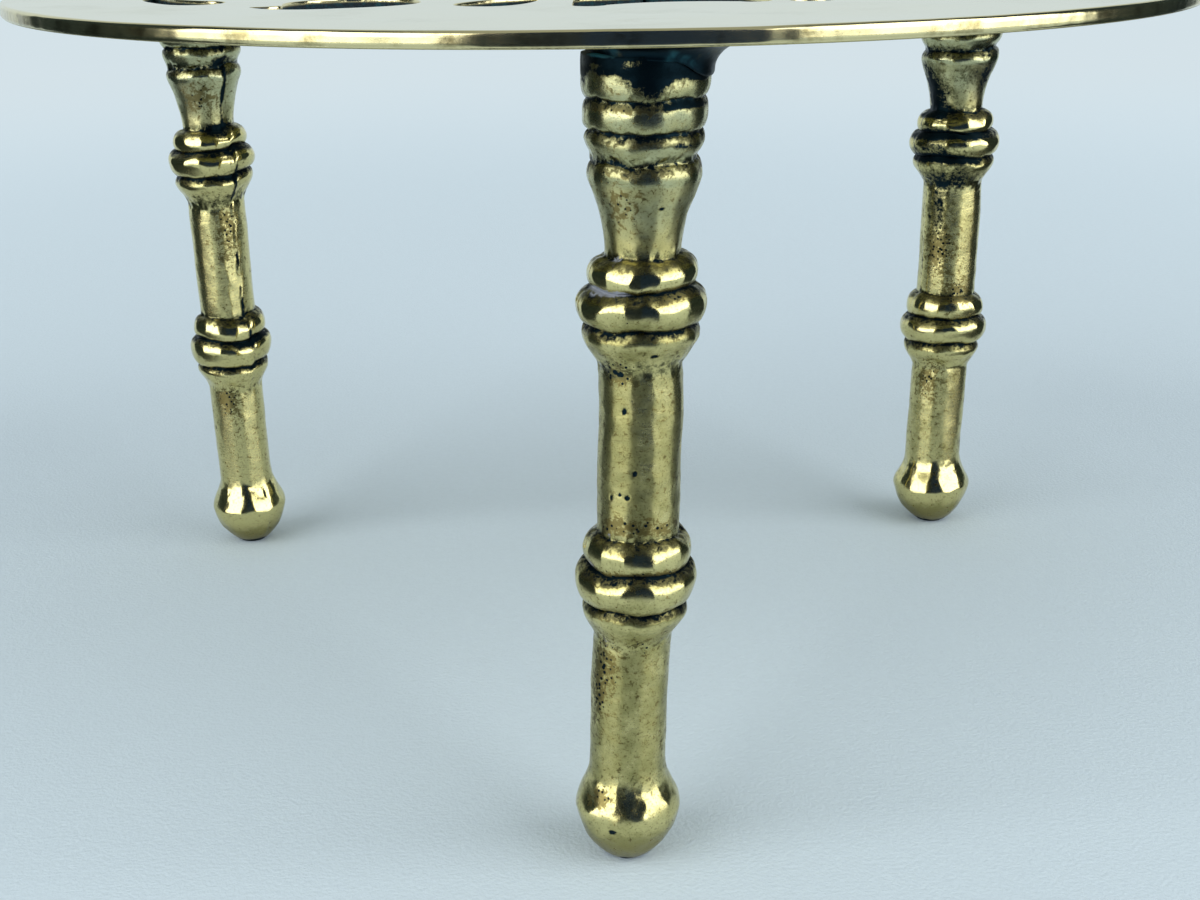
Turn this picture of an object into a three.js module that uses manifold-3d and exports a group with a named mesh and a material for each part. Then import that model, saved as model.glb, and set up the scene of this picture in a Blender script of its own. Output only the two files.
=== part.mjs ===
// Round pierced brass trivet on three turned legs, in millimetres with +Z up.
// The origin is on the table, under the centre of the plate. The front leg stands towards -Y.
import * as THREE from "three";
import { mergeVertices } from "three/addons/utils/BufferGeometryUtils.js";
import Module from "manifold-3d";

// Plate
const PLATE_RADIUS = 100;
const PLATE_THICKNESS = 2.3;
const RIM_TOP_ROUNDING = 0.7;
const RIM_LOWER_ROUNDING = 0.6;

// Where the legs stand, and the peened tenon that holds each one
const LEG_INSET = 10.7;
const LEG_CIRCLE_RADIUS = PLATE_RADIUS - LEG_INSET;
const TENON_RADIUS = 3.4;
const TENON_HEAD_RADIUS = 4.9;
const SEAT_GAP = 0.3;

// Foot, from the table up
const FOOT_SPOT_RADIUS = 2.6;
const FOOT_RADIUS = 7.7;
const FOOT_DOME_HEIGHT = 8.1;
const FOOT_FLARE_HEIGHT = 7.1;
const FOOT_DOME_CORNER = { across: 0.87, up: 0.34 };
const FOOT_FLARE_EASE = { leave: 0.25, arrive: 0.4 };

// Two plain shafts with a collar of three beads above each
const LOWER_SHAFT_LENGTH = 20.2;
const LOWER_SHAFT_RADIUS = 5.5;
const UPPER_SHAFT_LENGTH = 23.5;
const UPPER_SHAFT_RADIUS = 5.65;

// A bead is its height, its widest radius, and the share of its height at which it is widest. The
// lowest of a row flares up from what is below it.
const LOWER_COLLAR_BASE = { height: 5.8, radius: 7.35, crest: 0.74 };
const LOWER_COLLAR_RING = { height: 5.6, radius: 8.45, crest: 0.58 };
const LOWER_COLLAR_TOP = { height: 4.6, radius: 7.5, crest: 0.36 };
const UPPER_COLLAR_BASE = { height: 6.1, radius: 7.8, crest: 0.74 };
const UPPER_COLLAR_RING = { height: 4.9, radius: 8.65, crest: 0.52 };
const UPPER_COLLAR_TOP = { height: 4, radius: 7.3, crest: 0.4 };
const LOWER_COLLAR = [LOWER_COLLAR_BASE, LOWER_COLLAR_RING, LOWER_COLLAR_TOP];
const UPPER_COLLAR = [UPPER_COLLAR_BASE, UPPER_COLLAR_RING, UPPER_COLLAR_TOP];
const COLLAR_GROOVE_DEPTH = 0.7;
const BEAD_FLARE_EASE = { leave: 0.3, arrive: 0.26 };

// Vase between the upper collar and the three beads of the head
const NECK_RADIUS = 5;
const VASE_HEIGHT = 12.2;
const VASE_RADIUS = 7.35;
const VASE_CREST = 0.87;
const VASE_EASE = { leave: 0.5, arrive: 0.1 };
const HEAD_LOWER_BEAD = { height: 4, radius: 7.7, crest: 0.66 };
const HEAD_MIDDLE_BEAD = { height: 4.1, radius: 8.1, crest: 0.5 };
const HEAD_UPPER_BEAD = { height: 4.2, radius: 8.2, crest: 0.4 };
const HEAD_BEADS = [HEAD_LOWER_BEAD, HEAD_MIDDLE_BEAD, HEAD_UPPER_BEAD];
const HEAD_GROOVE_DEPTH = 0.55;
const HEAD_BLOCK_HEIGHT = 2.2;
const HEAD_BLOCK_RADIUS = 8.2;

// The legs were filed and set by hand: each has its bearing on the plate in degrees, its girth as
// a share of the pattern's, and how far its foot lies inward and sideways of its seat. Its braze
// fillet ran out by a share of the usual reach towards one side.
const FRONT_LEG = {
  place: "front", bearing: -90, girth: 1, inward: 2.3, sideways: -4, runSide: 100, run: 2.1,
};
const REAR_RIGHT_LEG = {
  place: "rear_right", bearing: 30, girth: 1.07, inward: 3.4, sideways: -0.2, runSide: 200, run: 0.8,
};
const REAR_LEFT_LEG = {
  place: "rear_left", bearing: 150.3, girth: 1, inward: 1.2, sideways: -2.3, runSide: 320, run: 0.6,
};
const LEGS = [FRONT_LEG, REAR_RIGHT_LEG, REAR_LEFT_LEG];

// Braze fillet in the corner between each leg and the plate
const BRAZE_HEIGHT = 1.2;
const BRAZE_REACH = 1.4;

// Piercings, repeated three times round the plate. Each is placed by its radius from the centre
// and its angle in degrees from the front leg towards the right one, and is drawn about that place
// with x to the right and y towards the centre.
const REPEATS = 3;
const WINDOW = {
  angle: 6.5, radius: 54, halfWidth: 12.2, lobe: 2.4, lobeDrop: 2.2, lobeEnds: -15,
  waistX: 12.4, waistY: 10, shoulderX: 5.2, shoulderY: 14.5, depth: 20,
};
const LARGE_COMMA = {
  angle: -42.9, radius: 59.2, size: 10.2, hand: 1, tipX: -7, tipY: -13.5,
  backTurn: -15, backPull: 17, bellyTurn: 235, bellyPull: 3,
};
const COMMA_BESIDE_WINDOW = {
  angle: -21.5, radius: 55, size: 4.9, hand: -1, tipX: -1.5, tipY: 14.4,
  backTurn: 188, backPull: 10, bellyTurn: 5, bellyPull: 7,
};
const RIM_COMMA_INSET = 25.7;
const COMMA_ALONG_RIM = {
  angle: -60, radius: PLATE_RADIUS - RIM_COMMA_INSET, size: 4.5, hand: 1, tipX: -24.5, tipY: 2.4,
  backTurn: -85, backPull: 15, bellyTurn: 120, bellyPull: 9,
};
const COMMA_BEHIND_LARGE = {
  angle: -74, radius: 54.5, size: 6.2, hand: -1, tipX: -7.5, tipY: -9.5,
  backTurn: -15, backPull: 9, bellyTurn: 195, bellyPull: 6,
};
const DROP_BETWEEN_WINDOWS = {
  angle: -53.5, radius: 39.5, size: 4.6, hand: 1, tipX: 0, tipY: 12,
  backTurn: 184, backPull: 6, bellyTurn: -4, bellyPull: 6,
};
const COMMAS = [LARGE_COMMA, COMMA_BESIDE_WINDOW, COMMA_ALONG_RIM, COMMA_BEHIND_LARGE, DROP_BETWEEN_WINDOWS];
const DOT_BESIDE_WINDOW = { angle: 26, radius: 61, size: 3.3 };
const DOT_BEFORE_DROP = { angle: -31, radius: 34.5, size: 2.8 };
const DOT_BEHIND_DROP = { angle: -76, radius: 36, size: 2.8 };
const DOTS = [DOT_BESIDE_WINDOW, DOT_BEFORE_DROP, DOT_BEHIND_DROP];

// Rosette in the middle of the plate, with the windows' points between its petals
const HUB_HOLE_RADIUS = 6.5;
const PETALS = 6;
const PETAL = { angle: WINDOW.angle - 180 / PETALS, radius: 18.5, halfLength: 8, halfWidth: 4.4 };

// Facets
const PLATE_SIDES = 72;
const RIM_STEPS = 2;
const LEG_SIDES = 24;
const BEAD_STEPS = 2;
const CURVE_STEPS = 4;
const PIERCING_STEPS = 5;
const CUT_MARGIN = 1;
const MERGE_DISTANCE = 1e-4;

const LEG_LENGTH = FOOT_DOME_HEIGHT + FOOT_FLARE_HEIGHT + LOWER_SHAFT_LENGTH + heightOf(LOWER_COLLAR)
  + UPPER_SHAFT_LENGTH + heightOf(UPPER_COLLAR) + VASE_HEIGHT + heightOf(HEAD_BEADS) + HEAD_BLOCK_HEIGHT;
const PLATE_UNDERSIDE = LEG_LENGTH + SEAT_GAP;
const PLATE_TOP = PLATE_UNDERSIDE + PLATE_THICKNESS;

const polishedBrass = new THREE.MeshStandardMaterial({ color: 0xcdb873, roughness: 0.15, metalness: 1 });
const castBrass = new THREE.MeshStandardMaterial({ color: 0xa8924c, roughness: 0.32, metalness: 1 });
const darkBraze = new THREE.MeshStandardMaterial({ color: 0x5d5a3a, roughness: 0.55, metalness: 1 });

const wasm = await Module();
wasm.setup();

function heightOf(beads) {
  return beads.reduce((total, bead) => total + bead.height, 0);
}

function polar(radius, degrees) {
  const turn = THREE.MathUtils.degToRad(degrees);
  return new THREE.Vector2(radius * Math.cos(turn), radius * Math.sin(turn));
}

// A closed geometry as a solid, for cutting
function toSolid(geometry) {
  const bare = geometry.clone();
  bare.deleteAttribute("normal");
  bare.deleteAttribute("uv");
  const merged = mergeVertices(bare, MERGE_DISTANCE);
  const corners = merged.index.array;
  const triVerts = [];
  for (let i = 0; i < corners.length; i += 3) {
    const [a, b, c] = corners.slice(i, i + 3);
    if (a !== b && b !== c && c !== a) triVerts.push(a, b, c);
  }
  const vertProperties = new Float32Array(merged.attributes.position.array);
  const mesh = new wasm.Mesh({ numProp: 3, vertProperties, triVerts: new Uint32Array(triVerts) });
  return new wasm.Manifold(mesh);
}

function toGeometry(solid) {
  const mesh = solid.getMesh();
  const geometry = new THREE.BufferGeometry();
  geometry.setAttribute("position", new THREE.BufferAttribute(mesh.vertProperties, 3));
  geometry.setIndex(new THREE.BufferAttribute(mesh.triVerts, 1));
  geometry.computeVertexNormals();
  return geometry;
}

// Turned work: a profile of radius and height, revolved about the Z axis
function turned(profile, sides) {
  return new THREE.LatheGeometry(profile, sides).rotateX(Math.PI / 2);
}

// A quarter of an ellipse from one profile point to another, without the first. It leaves either
// level or upright, and arrives the other way.
function quarter(from, to, steps, leaves) {
  return Array.from({ length: steps }, (_, i) => {
    const turn = (Math.PI / 2) * ((i + 1) / steps);
    const early = Math.sin(turn);
    const late = 1 - Math.cos(turn);
    const [across, up] = leaves === "level" ? [early, late] : [late, early];
    return new THREE.Vector2(from.x + (to.x - from.x) * across, from.y + (to.y - from.y) * up);
  });
}

// A row of beads on the end of a profile, with a groove between each two, the lowest one flared
function addBeads(profile, beads, grooveDepth, endRadius) {
  beads.forEach((bead, i) => {
    const start = profile.at(-1);
    const next = beads[i + 1];
    const groove = next ? Math.min(bead.radius, next.radius) - grooveDepth : endRadius;
    const crest = new THREE.Vector2(bead.radius, start.y + bead.height * bead.crest);
    const end = new THREE.Vector2(groove, start.y + bead.height);
    if (i === 0) addSwell(profile, crest, BEAD_FLARE_EASE);
    else profile.push(...quarter(start, crest, BEAD_STEPS, "level"));
    profile.push(...quarter(crest, end, BEAD_STEPS, "upright"));
  });
}

// A curve up to a wider or narrower place, upright at both ends for a share of its height
function addSwell(profile, to, ease) {
  const from = profile.at(-1);
  const height = to.y - from.y;
  const curve = new THREE.CubicBezierCurve(
    from,
    new THREE.Vector2(from.x, from.y + height * ease.leave),
    new THREE.Vector2(to.x, to.y - height * ease.arrive),
    to,
  );
  profile.push(...curve.getPoints(CURVE_STEPS).slice(1));
}

function addShaft(profile, length) {
  profile.push(new THREE.Vector2(profile.at(-1).x, profile.at(-1).y + length));
}

// Leg from the worn spot under its foot to the shoulder that meets the plate
function legProfile() {
  const profile = [new THREE.Vector2(0, 0), new THREE.Vector2(FOOT_SPOT_RADIUS, 0)];
  const footEdge = new THREE.Vector2(FOOT_RADIUS, FOOT_DOME_HEIGHT);
  const domeShare = new THREE.Vector2(FOOT_DOME_CORNER.across, FOOT_DOME_CORNER.up);
  const domeCorner = footEdge.clone().multiply(domeShare);
  const dome = new THREE.QuadraticBezierCurve(profile.at(-1), domeCorner, footEdge);
  profile.push(...dome.getPoints(CURVE_STEPS).slice(1));

  const flareTop = new THREE.Vector2(LOWER_SHAFT_RADIUS, FOOT_DOME_HEIGHT + FOOT_FLARE_HEIGHT);
  addSwell(profile, flareTop, FOOT_FLARE_EASE);
  addShaft(profile, LOWER_SHAFT_LENGTH);
  addBeads(profile, LOWER_COLLAR, COLLAR_GROOVE_DEPTH, UPPER_SHAFT_RADIUS);
  addShaft(profile, UPPER_SHAFT_LENGTH);
  addBeads(profile, UPPER_COLLAR, COLLAR_GROOVE_DEPTH, NECK_RADIUS);

  const neckHeight = profile.at(-1).y;
  const vaseWidest = new THREE.Vector2(VASE_RADIUS, neckHeight + VASE_HEIGHT * VASE_CREST);
  const vaseTop = new THREE.Vector2(VASE_RADIUS - HEAD_GROOVE_DEPTH, neckHeight + VASE_HEIGHT);
  addSwell(profile, vaseWidest, VASE_EASE);
  profile.push(...quarter(vaseWidest, vaseTop, BEAD_STEPS, "upright"));
  addBeads(profile, HEAD_BEADS, HEAD_GROOVE_DEPTH, HEAD_BLOCK_RADIUS);
  addShaft(profile, HEAD_BLOCK_HEIGHT);
  return profile;
}

// The leg leans as it goes down from its shoulder, and its sections stay level. The tenon above
// the shoulder is upright, with a head that fills the countersink.
function legGeometry(leg) {
  const body = legProfile().map((point) => new THREE.Vector2(point.x * leg.girth, point.y));
  const tenon = [
    new THREE.Vector2(TENON_RADIUS, LEG_LENGTH),
    new THREE.Vector2(TENON_RADIUS, PLATE_UNDERSIDE + PLATE_THICKNESS / 2),
    new THREE.Vector2(TENON_HEAD_RADIUS, PLATE_TOP),
    new THREE.Vector2(0, PLATE_TOP),
  ];
  const geometry = turned([...body, ...tenon], LEG_SIDES);
  const position = geometry.attributes.position;
  for (let i = 0; i < position.count; i += 1) {
    const drop = Math.max(0, 1 - position.getZ(i) / LEG_LENGTH);
    position.setX(i, position.getX(i) - leg.inward * drop);
    position.setY(i, position.getY(i) + leg.sideways * drop);
  }
  return geometry;
}

// Hollow fillet round the leg's head, wider and deeper on the side that the braze ran to
function brazeGeometry(leg) {
  const inner = HEAD_BLOCK_RADIUS * leg.girth + SEAT_GAP;
  const top = PLATE_UNDERSIDE - SEAT_GAP;
  const foot = new THREE.Vector2(inner, top - BRAZE_HEIGHT);
  const edge = new THREE.Vector2(inner + BRAZE_REACH, top);
  const profile = [foot, ...quarter(foot, edge, CURVE_STEPS, "upright"), new THREE.Vector2(inner, top), foot];
  const geometry = turned(profile, LEG_SIDES);
  const position = geometry.attributes.position;
  for (let i = 0; i < position.count; i += 1) {
    const spoke = new THREE.Vector2(position.getX(i), position.getY(i));
    const towards = (1 + Math.cos(spoke.angle() - THREE.MathUtils.degToRad(leg.runSide))) / 2;
    const share = 1 + leg.run * towards ** 2;
    spoke.setLength(inner + (spoke.length() - inner) * share);
    position.setXYZ(i, spoke.x, spoke.y, top + (position.getZ(i) - top) * share);
  }
  return geometry;
}

// Window with a small lobe at each end of its outer edge, an arch between them that rises to the
// window's place, sides that draw in to a waist, and an ogee point inward
function windowOutline({ halfWidth, lobe, lobeDrop, lobeEnds, waistX, waistY, shoulderX, shoulderY, depth }) {
  const side = halfWidth + lobe;
  const lobeEnd = polar(lobe, lobeEnds);
  const archX = halfWidth - lobeEnd.x;
  const archY = lobeEnd.y - lobeDrop;
  const outline = new THREE.Path();
  outline.moveTo(-side, -lobeDrop);
  outline.absarc(-halfWidth, -lobeDrop, lobe, Math.PI, lobeEnd.angle(), false);
  outline.quadraticCurveTo(0, -archY, archX, archY);
  outline.absarc(halfWidth, -lobeDrop, lobe, Math.PI - lobeEnd.angle(), 0, false);
  outline.lineTo(waistX, waistY);
  outline.quadraticCurveTo(waistX, shoulderY, shoulderX, shoulderY);
  outline.quadraticCurveTo(0, shoulderY, 0, depth);
  outline.quadraticCurveTo(0, shoulderY, -shoulderX, shoulderY);
  outline.quadraticCurveTo(-waistX, shoulderY, -waistX, waistY);
  return outline.getPoints(PIERCING_STEPS);
}

// Comma with a round head. The back and the belly of its tail each leave the edge of the head at
// a turn in degrees, are pulled on along it by a length, and meet at the tip.
function commaOutline({ size, hand, tipX, tipY, backTurn, backPull, bellyTurn, bellyPull }) {
  const backStart = polar(size, backTurn);
  const backCorner = backStart.clone().add(polar(backPull, backTurn - 90));
  const bellyEnd = polar(size, bellyTurn);
  const bellyCorner = bellyEnd.clone().sub(polar(bellyPull, bellyTurn - 90));
  const outline = new THREE.Path();
  outline.moveTo(backStart.x, backStart.y);
  outline.quadraticCurveTo(backCorner.x, backCorner.y, tipX, tipY);
  outline.quadraticCurveTo(bellyCorner.x, bellyCorner.y, bellyEnd.x, bellyEnd.y);
  outline.absarc(0, 0, size, THREE.MathUtils.degToRad(bellyTurn), THREE.MathUtils.degToRad(backTurn), true);
  return outline.getPoints(PIERCING_STEPS).map((point) => new THREE.Vector2(point.x * hand, point.y));
}

function dotOutline({ size }) {
  return new THREE.Path().absarc(0, 0, size, 0, 2 * Math.PI).getPoints(PIERCING_STEPS + 1);
}

// Petal pointed at both ends, along the line to the centre
function petalOutline({ halfLength, halfWidth }) {
  const outline = new THREE.Path();
  outline.moveTo(0, -halfLength);
  outline.quadraticCurveTo(2 * halfWidth, 0, 0, halfLength);
  outline.quadraticCurveTo(-2 * halfWidth, 0, 0, -halfLength);
  return outline.getPoints(PIERCING_STEPS);
}

// Copies of an outline in places round the plate
function around(outline, { radius, angle }, copies) {
  return Array.from({ length: copies }, (_, i) => {
    const turn = THREE.MathUtils.degToRad(angle) + (2 * Math.PI * i) / copies;
    const centre = new THREE.Vector2();
    return outline.map((point) => new THREE.Vector2(point.x, point.y - radius).rotateAround(centre, turn));
  });
}

function piercings() {
  return [
    ...around(windowOutline(WINDOW), WINDOW, REPEATS),
    ...COMMAS.flatMap((comma) => around(commaOutline(comma), comma, REPEATS)),
    ...DOTS.flatMap((dot) => around(dotOutline(dot), dot, REPEATS)),
    ...around(dotOutline({ size: HUB_HOLE_RADIUS }), { radius: 0, angle: 0 }, 1),
    ...around(petalOutline(PETAL), PETAL, PETALS),
  ];
}

function piercingCutter(outline) {
  const depth = PLATE_THICKNESS + 2 * CUT_MARGIN;
  const geometry = new THREE.ExtrudeGeometry(new THREE.Shape(outline), { depth, bevelEnabled: false });
  return toSolid(geometry.translate(0, 0, PLATE_UNDERSIDE - CUT_MARGIN));
}

// Hole for a tenon, countersunk from the plate's top
function tenonCutter(leg) {
  const hole = TENON_RADIUS + SEAT_GAP;
  const head = TENON_HEAD_RADIUS + SEAT_GAP;
  const waist = PLATE_UNDERSIDE + PLATE_THICKNESS / 2;
  const slope = (TENON_HEAD_RADIUS - TENON_RADIUS) / (PLATE_TOP - waist);
  const profile = [
    new THREE.Vector2(0, PLATE_UNDERSIDE - CUT_MARGIN),
    new THREE.Vector2(hole, PLATE_UNDERSIDE - CUT_MARGIN),
    new THREE.Vector2(hole, waist),
    new THREE.Vector2(head + slope * CUT_MARGIN, PLATE_TOP + CUT_MARGIN),
    new THREE.Vector2(0, PLATE_TOP + CUT_MARGIN),
  ];
  const seat = polar(LEG_CIRCLE_RADIUS, leg.bearing);
  return toSolid(turned(profile, LEG_SIDES).translate(seat.x, seat.y, 0));
}

function plateGeometry() {
  const topEdge = new THREE.Vector2(PLATE_RADIUS - RIM_TOP_ROUNDING, PLATE_TOP);
  const upper = new THREE.Vector2(PLATE_RADIUS, PLATE_TOP - RIM_TOP_ROUNDING);
  const lower = new THREE.Vector2(PLATE_RADIUS, PLATE_UNDERSIDE + RIM_LOWER_ROUNDING);
  const lowerEdge = new THREE.Vector2(PLATE_RADIUS - RIM_LOWER_ROUNDING, PLATE_UNDERSIDE);
  const profile = [
    new THREE.Vector2(0, PLATE_UNDERSIDE),
    lowerEdge,
    ...quarter(lowerEdge, lower, RIM_STEPS, "level"),
    upper,
    ...quarter(upper, topEdge, RIM_STEPS, "upright"),
    new THREE.Vector2(0, PLATE_TOP),
  ];
  const cutters = [...piercings().map(piercingCutter), ...LEGS.map(tenonCutter)];
  const disc = toSolid(turned(profile, PLATE_SIDES));
  return toGeometry(cutters.reduce((plate, cutter) => plate.subtract(cutter), disc));
}

function part(name, geometry, material) {
  const mesh = new THREE.Mesh(geometry, material.clone());
  mesh.name = name;
  return mesh;
}

const trivet = new THREE.Group();
trivet.add(part("top_plate", plateGeometry(), polishedBrass));
for (const leg of LEGS) {
  const seat = new THREE.Group();
  seat.rotation.z = THREE.MathUtils.degToRad(leg.bearing);
  const upright = new THREE.Group();
  upright.position.x = LEG_CIRCLE_RADIUS;
  upright.add(part(`leg_${leg.place}`, legGeometry(leg), castBrass));
  upright.add(part(`braze_${leg.place}`, brazeGeometry(leg), darkBraze));
  seat.add(upright);
  trivet.add(seat);
}

export default trivet;
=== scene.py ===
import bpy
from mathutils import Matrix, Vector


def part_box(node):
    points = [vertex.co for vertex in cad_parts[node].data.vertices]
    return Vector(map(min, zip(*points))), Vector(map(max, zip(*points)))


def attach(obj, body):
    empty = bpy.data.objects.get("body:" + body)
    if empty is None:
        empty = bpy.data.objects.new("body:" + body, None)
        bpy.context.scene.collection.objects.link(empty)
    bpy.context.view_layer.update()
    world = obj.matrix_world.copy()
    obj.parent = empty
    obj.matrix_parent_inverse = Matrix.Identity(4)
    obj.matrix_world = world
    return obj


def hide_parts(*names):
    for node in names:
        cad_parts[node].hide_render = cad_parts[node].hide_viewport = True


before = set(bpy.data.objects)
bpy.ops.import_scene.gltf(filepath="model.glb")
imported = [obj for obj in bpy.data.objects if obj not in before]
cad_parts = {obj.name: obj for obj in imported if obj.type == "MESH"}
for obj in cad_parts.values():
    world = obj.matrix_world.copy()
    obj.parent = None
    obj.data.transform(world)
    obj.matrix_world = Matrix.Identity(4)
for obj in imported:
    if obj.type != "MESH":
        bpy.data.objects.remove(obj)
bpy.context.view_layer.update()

import math

import bpy
import numpy as np
from bpy.props import FloatProperty, FloatVectorProperty, IntProperty, PointerProperty
from bpy.types import Operator, Panel, PropertyGroup
from mathutils import Matrix, Vector
from mathutils.geometry import delaunay_2d_cdt

bl_info = {
    "name": "Pierced brass trivet",
    "version": (1, 0, 0),
    "blender": (4, 5, 0),
    "location": "View3D > Sidebar > Trivet",
    "description": "Finishes a round pierced brass trivet on three turned legs",
    "category": "Add Mesh",
}

MM = 0.001
TURN = 2 * math.pi
QUARTER_TURN = math.pi / 2

# Places that come from the frame, in millimetres
PLATE_LOW, PLATE_HIGH = (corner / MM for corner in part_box("top_plate"))
PLATE_RADIUS, PLATE_TOP, PLATE_UNDERSIDE = PLATE_HIGH.x, PLATE_HIGH.z, PLATE_LOW.z
PLATE_THICKNESS = PLATE_TOP - PLATE_UNDERSIDE

# Piercings of the plate, in millimetres and degrees. Each is placed by its radius from the centre
# and its angle from the front leg towards the right one, and drawn with x to the right and y
# towards the centre.
REPEATS = 3
WINDOW = dict(angle=6.5, radius=54)
WINDOW_SHAPE = dict(
    half_width=12.2, lobe=2.4, lobe_drop=2.2, lobe_ends=-15,
    waist=(12.4, 10), shoulder=(5.2, 14.5), depth=20,
)
# Angle and radius of a comma's place, its head's size, its hand, its tip, and the turn and pull
# with which its back and its belly leave the head
COMMAS = (
    (-42.9, 59.2, 10.2, 1, (-7, -13.5), (-15, 17), (235, 3)),
    (-21.5, 55, 4.9, -1, (-1.5, 14.4), (188, 10), (5, 7)),
    (-60, 74.3, 4.5, 1, (-24.5, 2.4), (-85, 15), (120, 9)),
    (-74, 54.5, 6.2, -1, (-7.5, -9.5), (-15, 9), (195, 6)),
    (-53.5, 39.5, 4.6, 1, (0, 12), (184, 6), (-4, 6)),
)
# Angle, radius and size
DOTS = ((26, 61, 3.3), (-31, 34.5, 2.8), (-76, 36, 2.8))
HUB_HOLE_RADIUS = 6.5
PETALS = 6
PETAL = dict(angle=WINDOW["angle"] - 180 / PETALS, radius=18.5)
PETAL_SHAPE = dict(half_length=8, half_width=4.4)

# Rows of points down the plate's edges; the grid of loose points on its faces, how near to an
# edge they come, how many corners are measured at once, and how near points count as one
RIM_ROWS, HOLE_ROWS = 4, 7
EDGE_STEPS = 5
EDGE_SUPPORT = 0.35
GRID_STEP, GRID_MARGIN, CORNERS_AT_ONCE, SAME_POINT = 3.4, 1.7, 400, 1e-7
# Depths under the top between which a rough wall sets in, and the ones from the underside between
# which it ends and the cast face sets in; the bright edge's depth and reach; and how far the
# wall's waves are drawn out down it
WALL_STARTS, WALL_ENDS, CAST_STARTS = (0.25, 0.6), (-0.5, -0.1), (-0.3, -0.02)
BRIGHT_EDGE, BRIGHT_REACH, WALL_STRETCH = 0.15, 0.25, 0.35

# Seat of a leg in the plate
LEG_INSET = 10.7
LEG_CIRCLE_RADIUS = PLATE_RADIUS - LEG_INSET
TENON_RADIUS = 3.4
TENON_HEAD_RADIUS = 4.9
TENON_SEAM = 0.004
TENON_EDGE = 0.006
TENON_MARGIN = 0.5

# Turned profile of a leg, from the table up
FOOT_SPOT_RADIUS = 2.6
FOOT_RADIUS = 7.7
FOOT_DOME_HEIGHT = 8.1
FOOT_DOME_CORNER = (0.87, 0.34)
FOOT_FLARE_HEIGHT = 7.1
FOOT_FLARE_EASE = (0.25, 0.4)
LOWER_SHAFT_LENGTH = 20.2
LOWER_SHAFT_RADIUS = 5.5
UPPER_SHAFT_LENGTH = 23.5
UPPER_SHAFT_RADIUS = 5.65
COLLAR_GROOVE_DEPTH = 0.9
# A bead is its height, its widest radius, and the share of its height at which it is widest. The
# lowest of a row flares up from what is below it.
LOWER_COLLAR = ((5.8, 7.35, 0.74), (5.6, 8.45, 0.58), (4.6, 7.5, 0.36))
UPPER_COLLAR = ((6.1, 7.8, 0.74), (4.9, 8.65, 0.52), (4, 7.3, 0.4))
BEAD_FLARE_EASE = (0.3, 0.26)
NECK_RADIUS = 5
VASE_HEIGHT = 12.2
VASE_RADIUS = 7.35
VASE_CREST = 0.87
VASE_EASE = (0.5, 0.1)
HEAD_BEADS = ((4, 7.7, 0.66), (4.1, 8.1, 0.5), (4.2, 8.2, 0.4))
HEAD_GROOVE_DEPTH = 0.7
HEAD_BLOCK_RADIUS = 8.2

LOWER_COLLAR_FROM = FOOT_DOME_HEIGHT + FOOT_FLARE_HEIGHT + LOWER_SHAFT_LENGTH
UPPER_COLLAR_FROM = LOWER_COLLAR_FROM + sum(bead[0] for bead in LOWER_COLLAR) + UPPER_SHAFT_LENGTH
NECK_HEIGHT = UPPER_COLLAR_FROM + sum(bead[0] for bead in UPPER_COLLAR)
HEAD_FROM = NECK_HEIGHT + VASE_HEIGHT
HEAD_TOP = HEAD_FROM + sum(bead[0] for bead in HEAD_BEADS)

# Points along each stretch of the profile, the spacing of the softened one, how far its corners
# are rounded, and over what length a groove or crest stands out from its surroundings
QUARTER_STEPS, SWELL_STEPS, SHAFT_STEPS, DOME_STEP = 24, 48, 40, 0.2
PROFILE_STEP, PROFILE_ROUNDING, HOLLOW_REACH = 0.05, 0.11, 1.5

# Unevenness of the surfaces: the cosine waves in one layer and how far their lengths spread, then
# layers of a length and a height
WAVE_COUNT, WAVE_SPREAD = 48, (0.7, 1.6)
PLATE_WAVES = ((34, 0.018), (11, 0.006))
WALL_WAVES = ((1.3, 0.6), (4.5, 0.8))
LEG_WAVES = ((9, 0.05),)
LEG_DENTS = ((3.2, 0.026), (1.1, 0.008))
GROOVE_WAVES = ((2.1, 0.075), (1.0, 0.03))
ROW_WAVES = ((6.5, 0.15), (2.6, 0.05))
# The head's and the foot's waves make ragged edges on their bands of painted shade
HEAD_SHADE_WAVES, FOOT_SHADE_WAVES, BRAZE_WAVES = ((5, 0.7),), ((3, 0.2),), ((7, 0.08),)
# How much deeper the dents and the ragged grooves are round the head, and how much shallower the
# dents on a filed shaft
HEAD_DENTS, HEAD_RAGGED, FILED_DENTS = 0.2, 0.5, 0.45
RIM_ROUGHNESS, WALL_ROUGHNESS = 0.015, 0.1
PLATE_SEED, RIM_SEED, HOLE_SEED, TENON_SEED, LEG_SEED, BRAZE_SEED = 11, 21, 31, 71, 101, 301

# Turning and casting of a leg: how far its rows wander and its beads are out of round, and the
# length over which both turn; the widths of the mould seam's step, ridge and cracks, and how much
# of the seam the file left near the foot and above the two heights
ROW_WANDER, OUT_OF_ROUND, WANDER_LENGTH = 0.16, 0.06, 17
SEAM_STEP_WIDTH, SEAM_RIDGE_WIDTH, SEAM_CRACK_WIDTH = 0.35, 0.4, 0.3
SEAM_LEFT, SEAM_FILED_TO, SEAM_WHOLE_FROM = 0.2, 40, 54
# How far a groove lies under its surroundings, or a crest above them, where it counts in full, how
# near to them the file reached, and from what height up
FULL_GROOVE, FULL_CREST, FILED_WITHIN, FILED_FROM = 0.55, 0.6, 0.25, 13
PIT_DEPTH, PIT_LIMIT = 0.4, 0.5
SETTLED_DROP, SETTLED_REACH = 0.75, 0.6
# The seam's ridge: its height, how far that varies and over what length. Its cracks: their length,
# and the heights of their waves between which one opens.
RIDGE_HEIGHT, RIDGE_VARIES, RIDGE_LENGTH = 0.36, 0.24, 6
CRACK_LENGTH, CRACK_OPENS = 5, (-0.1, 0.9)
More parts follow.
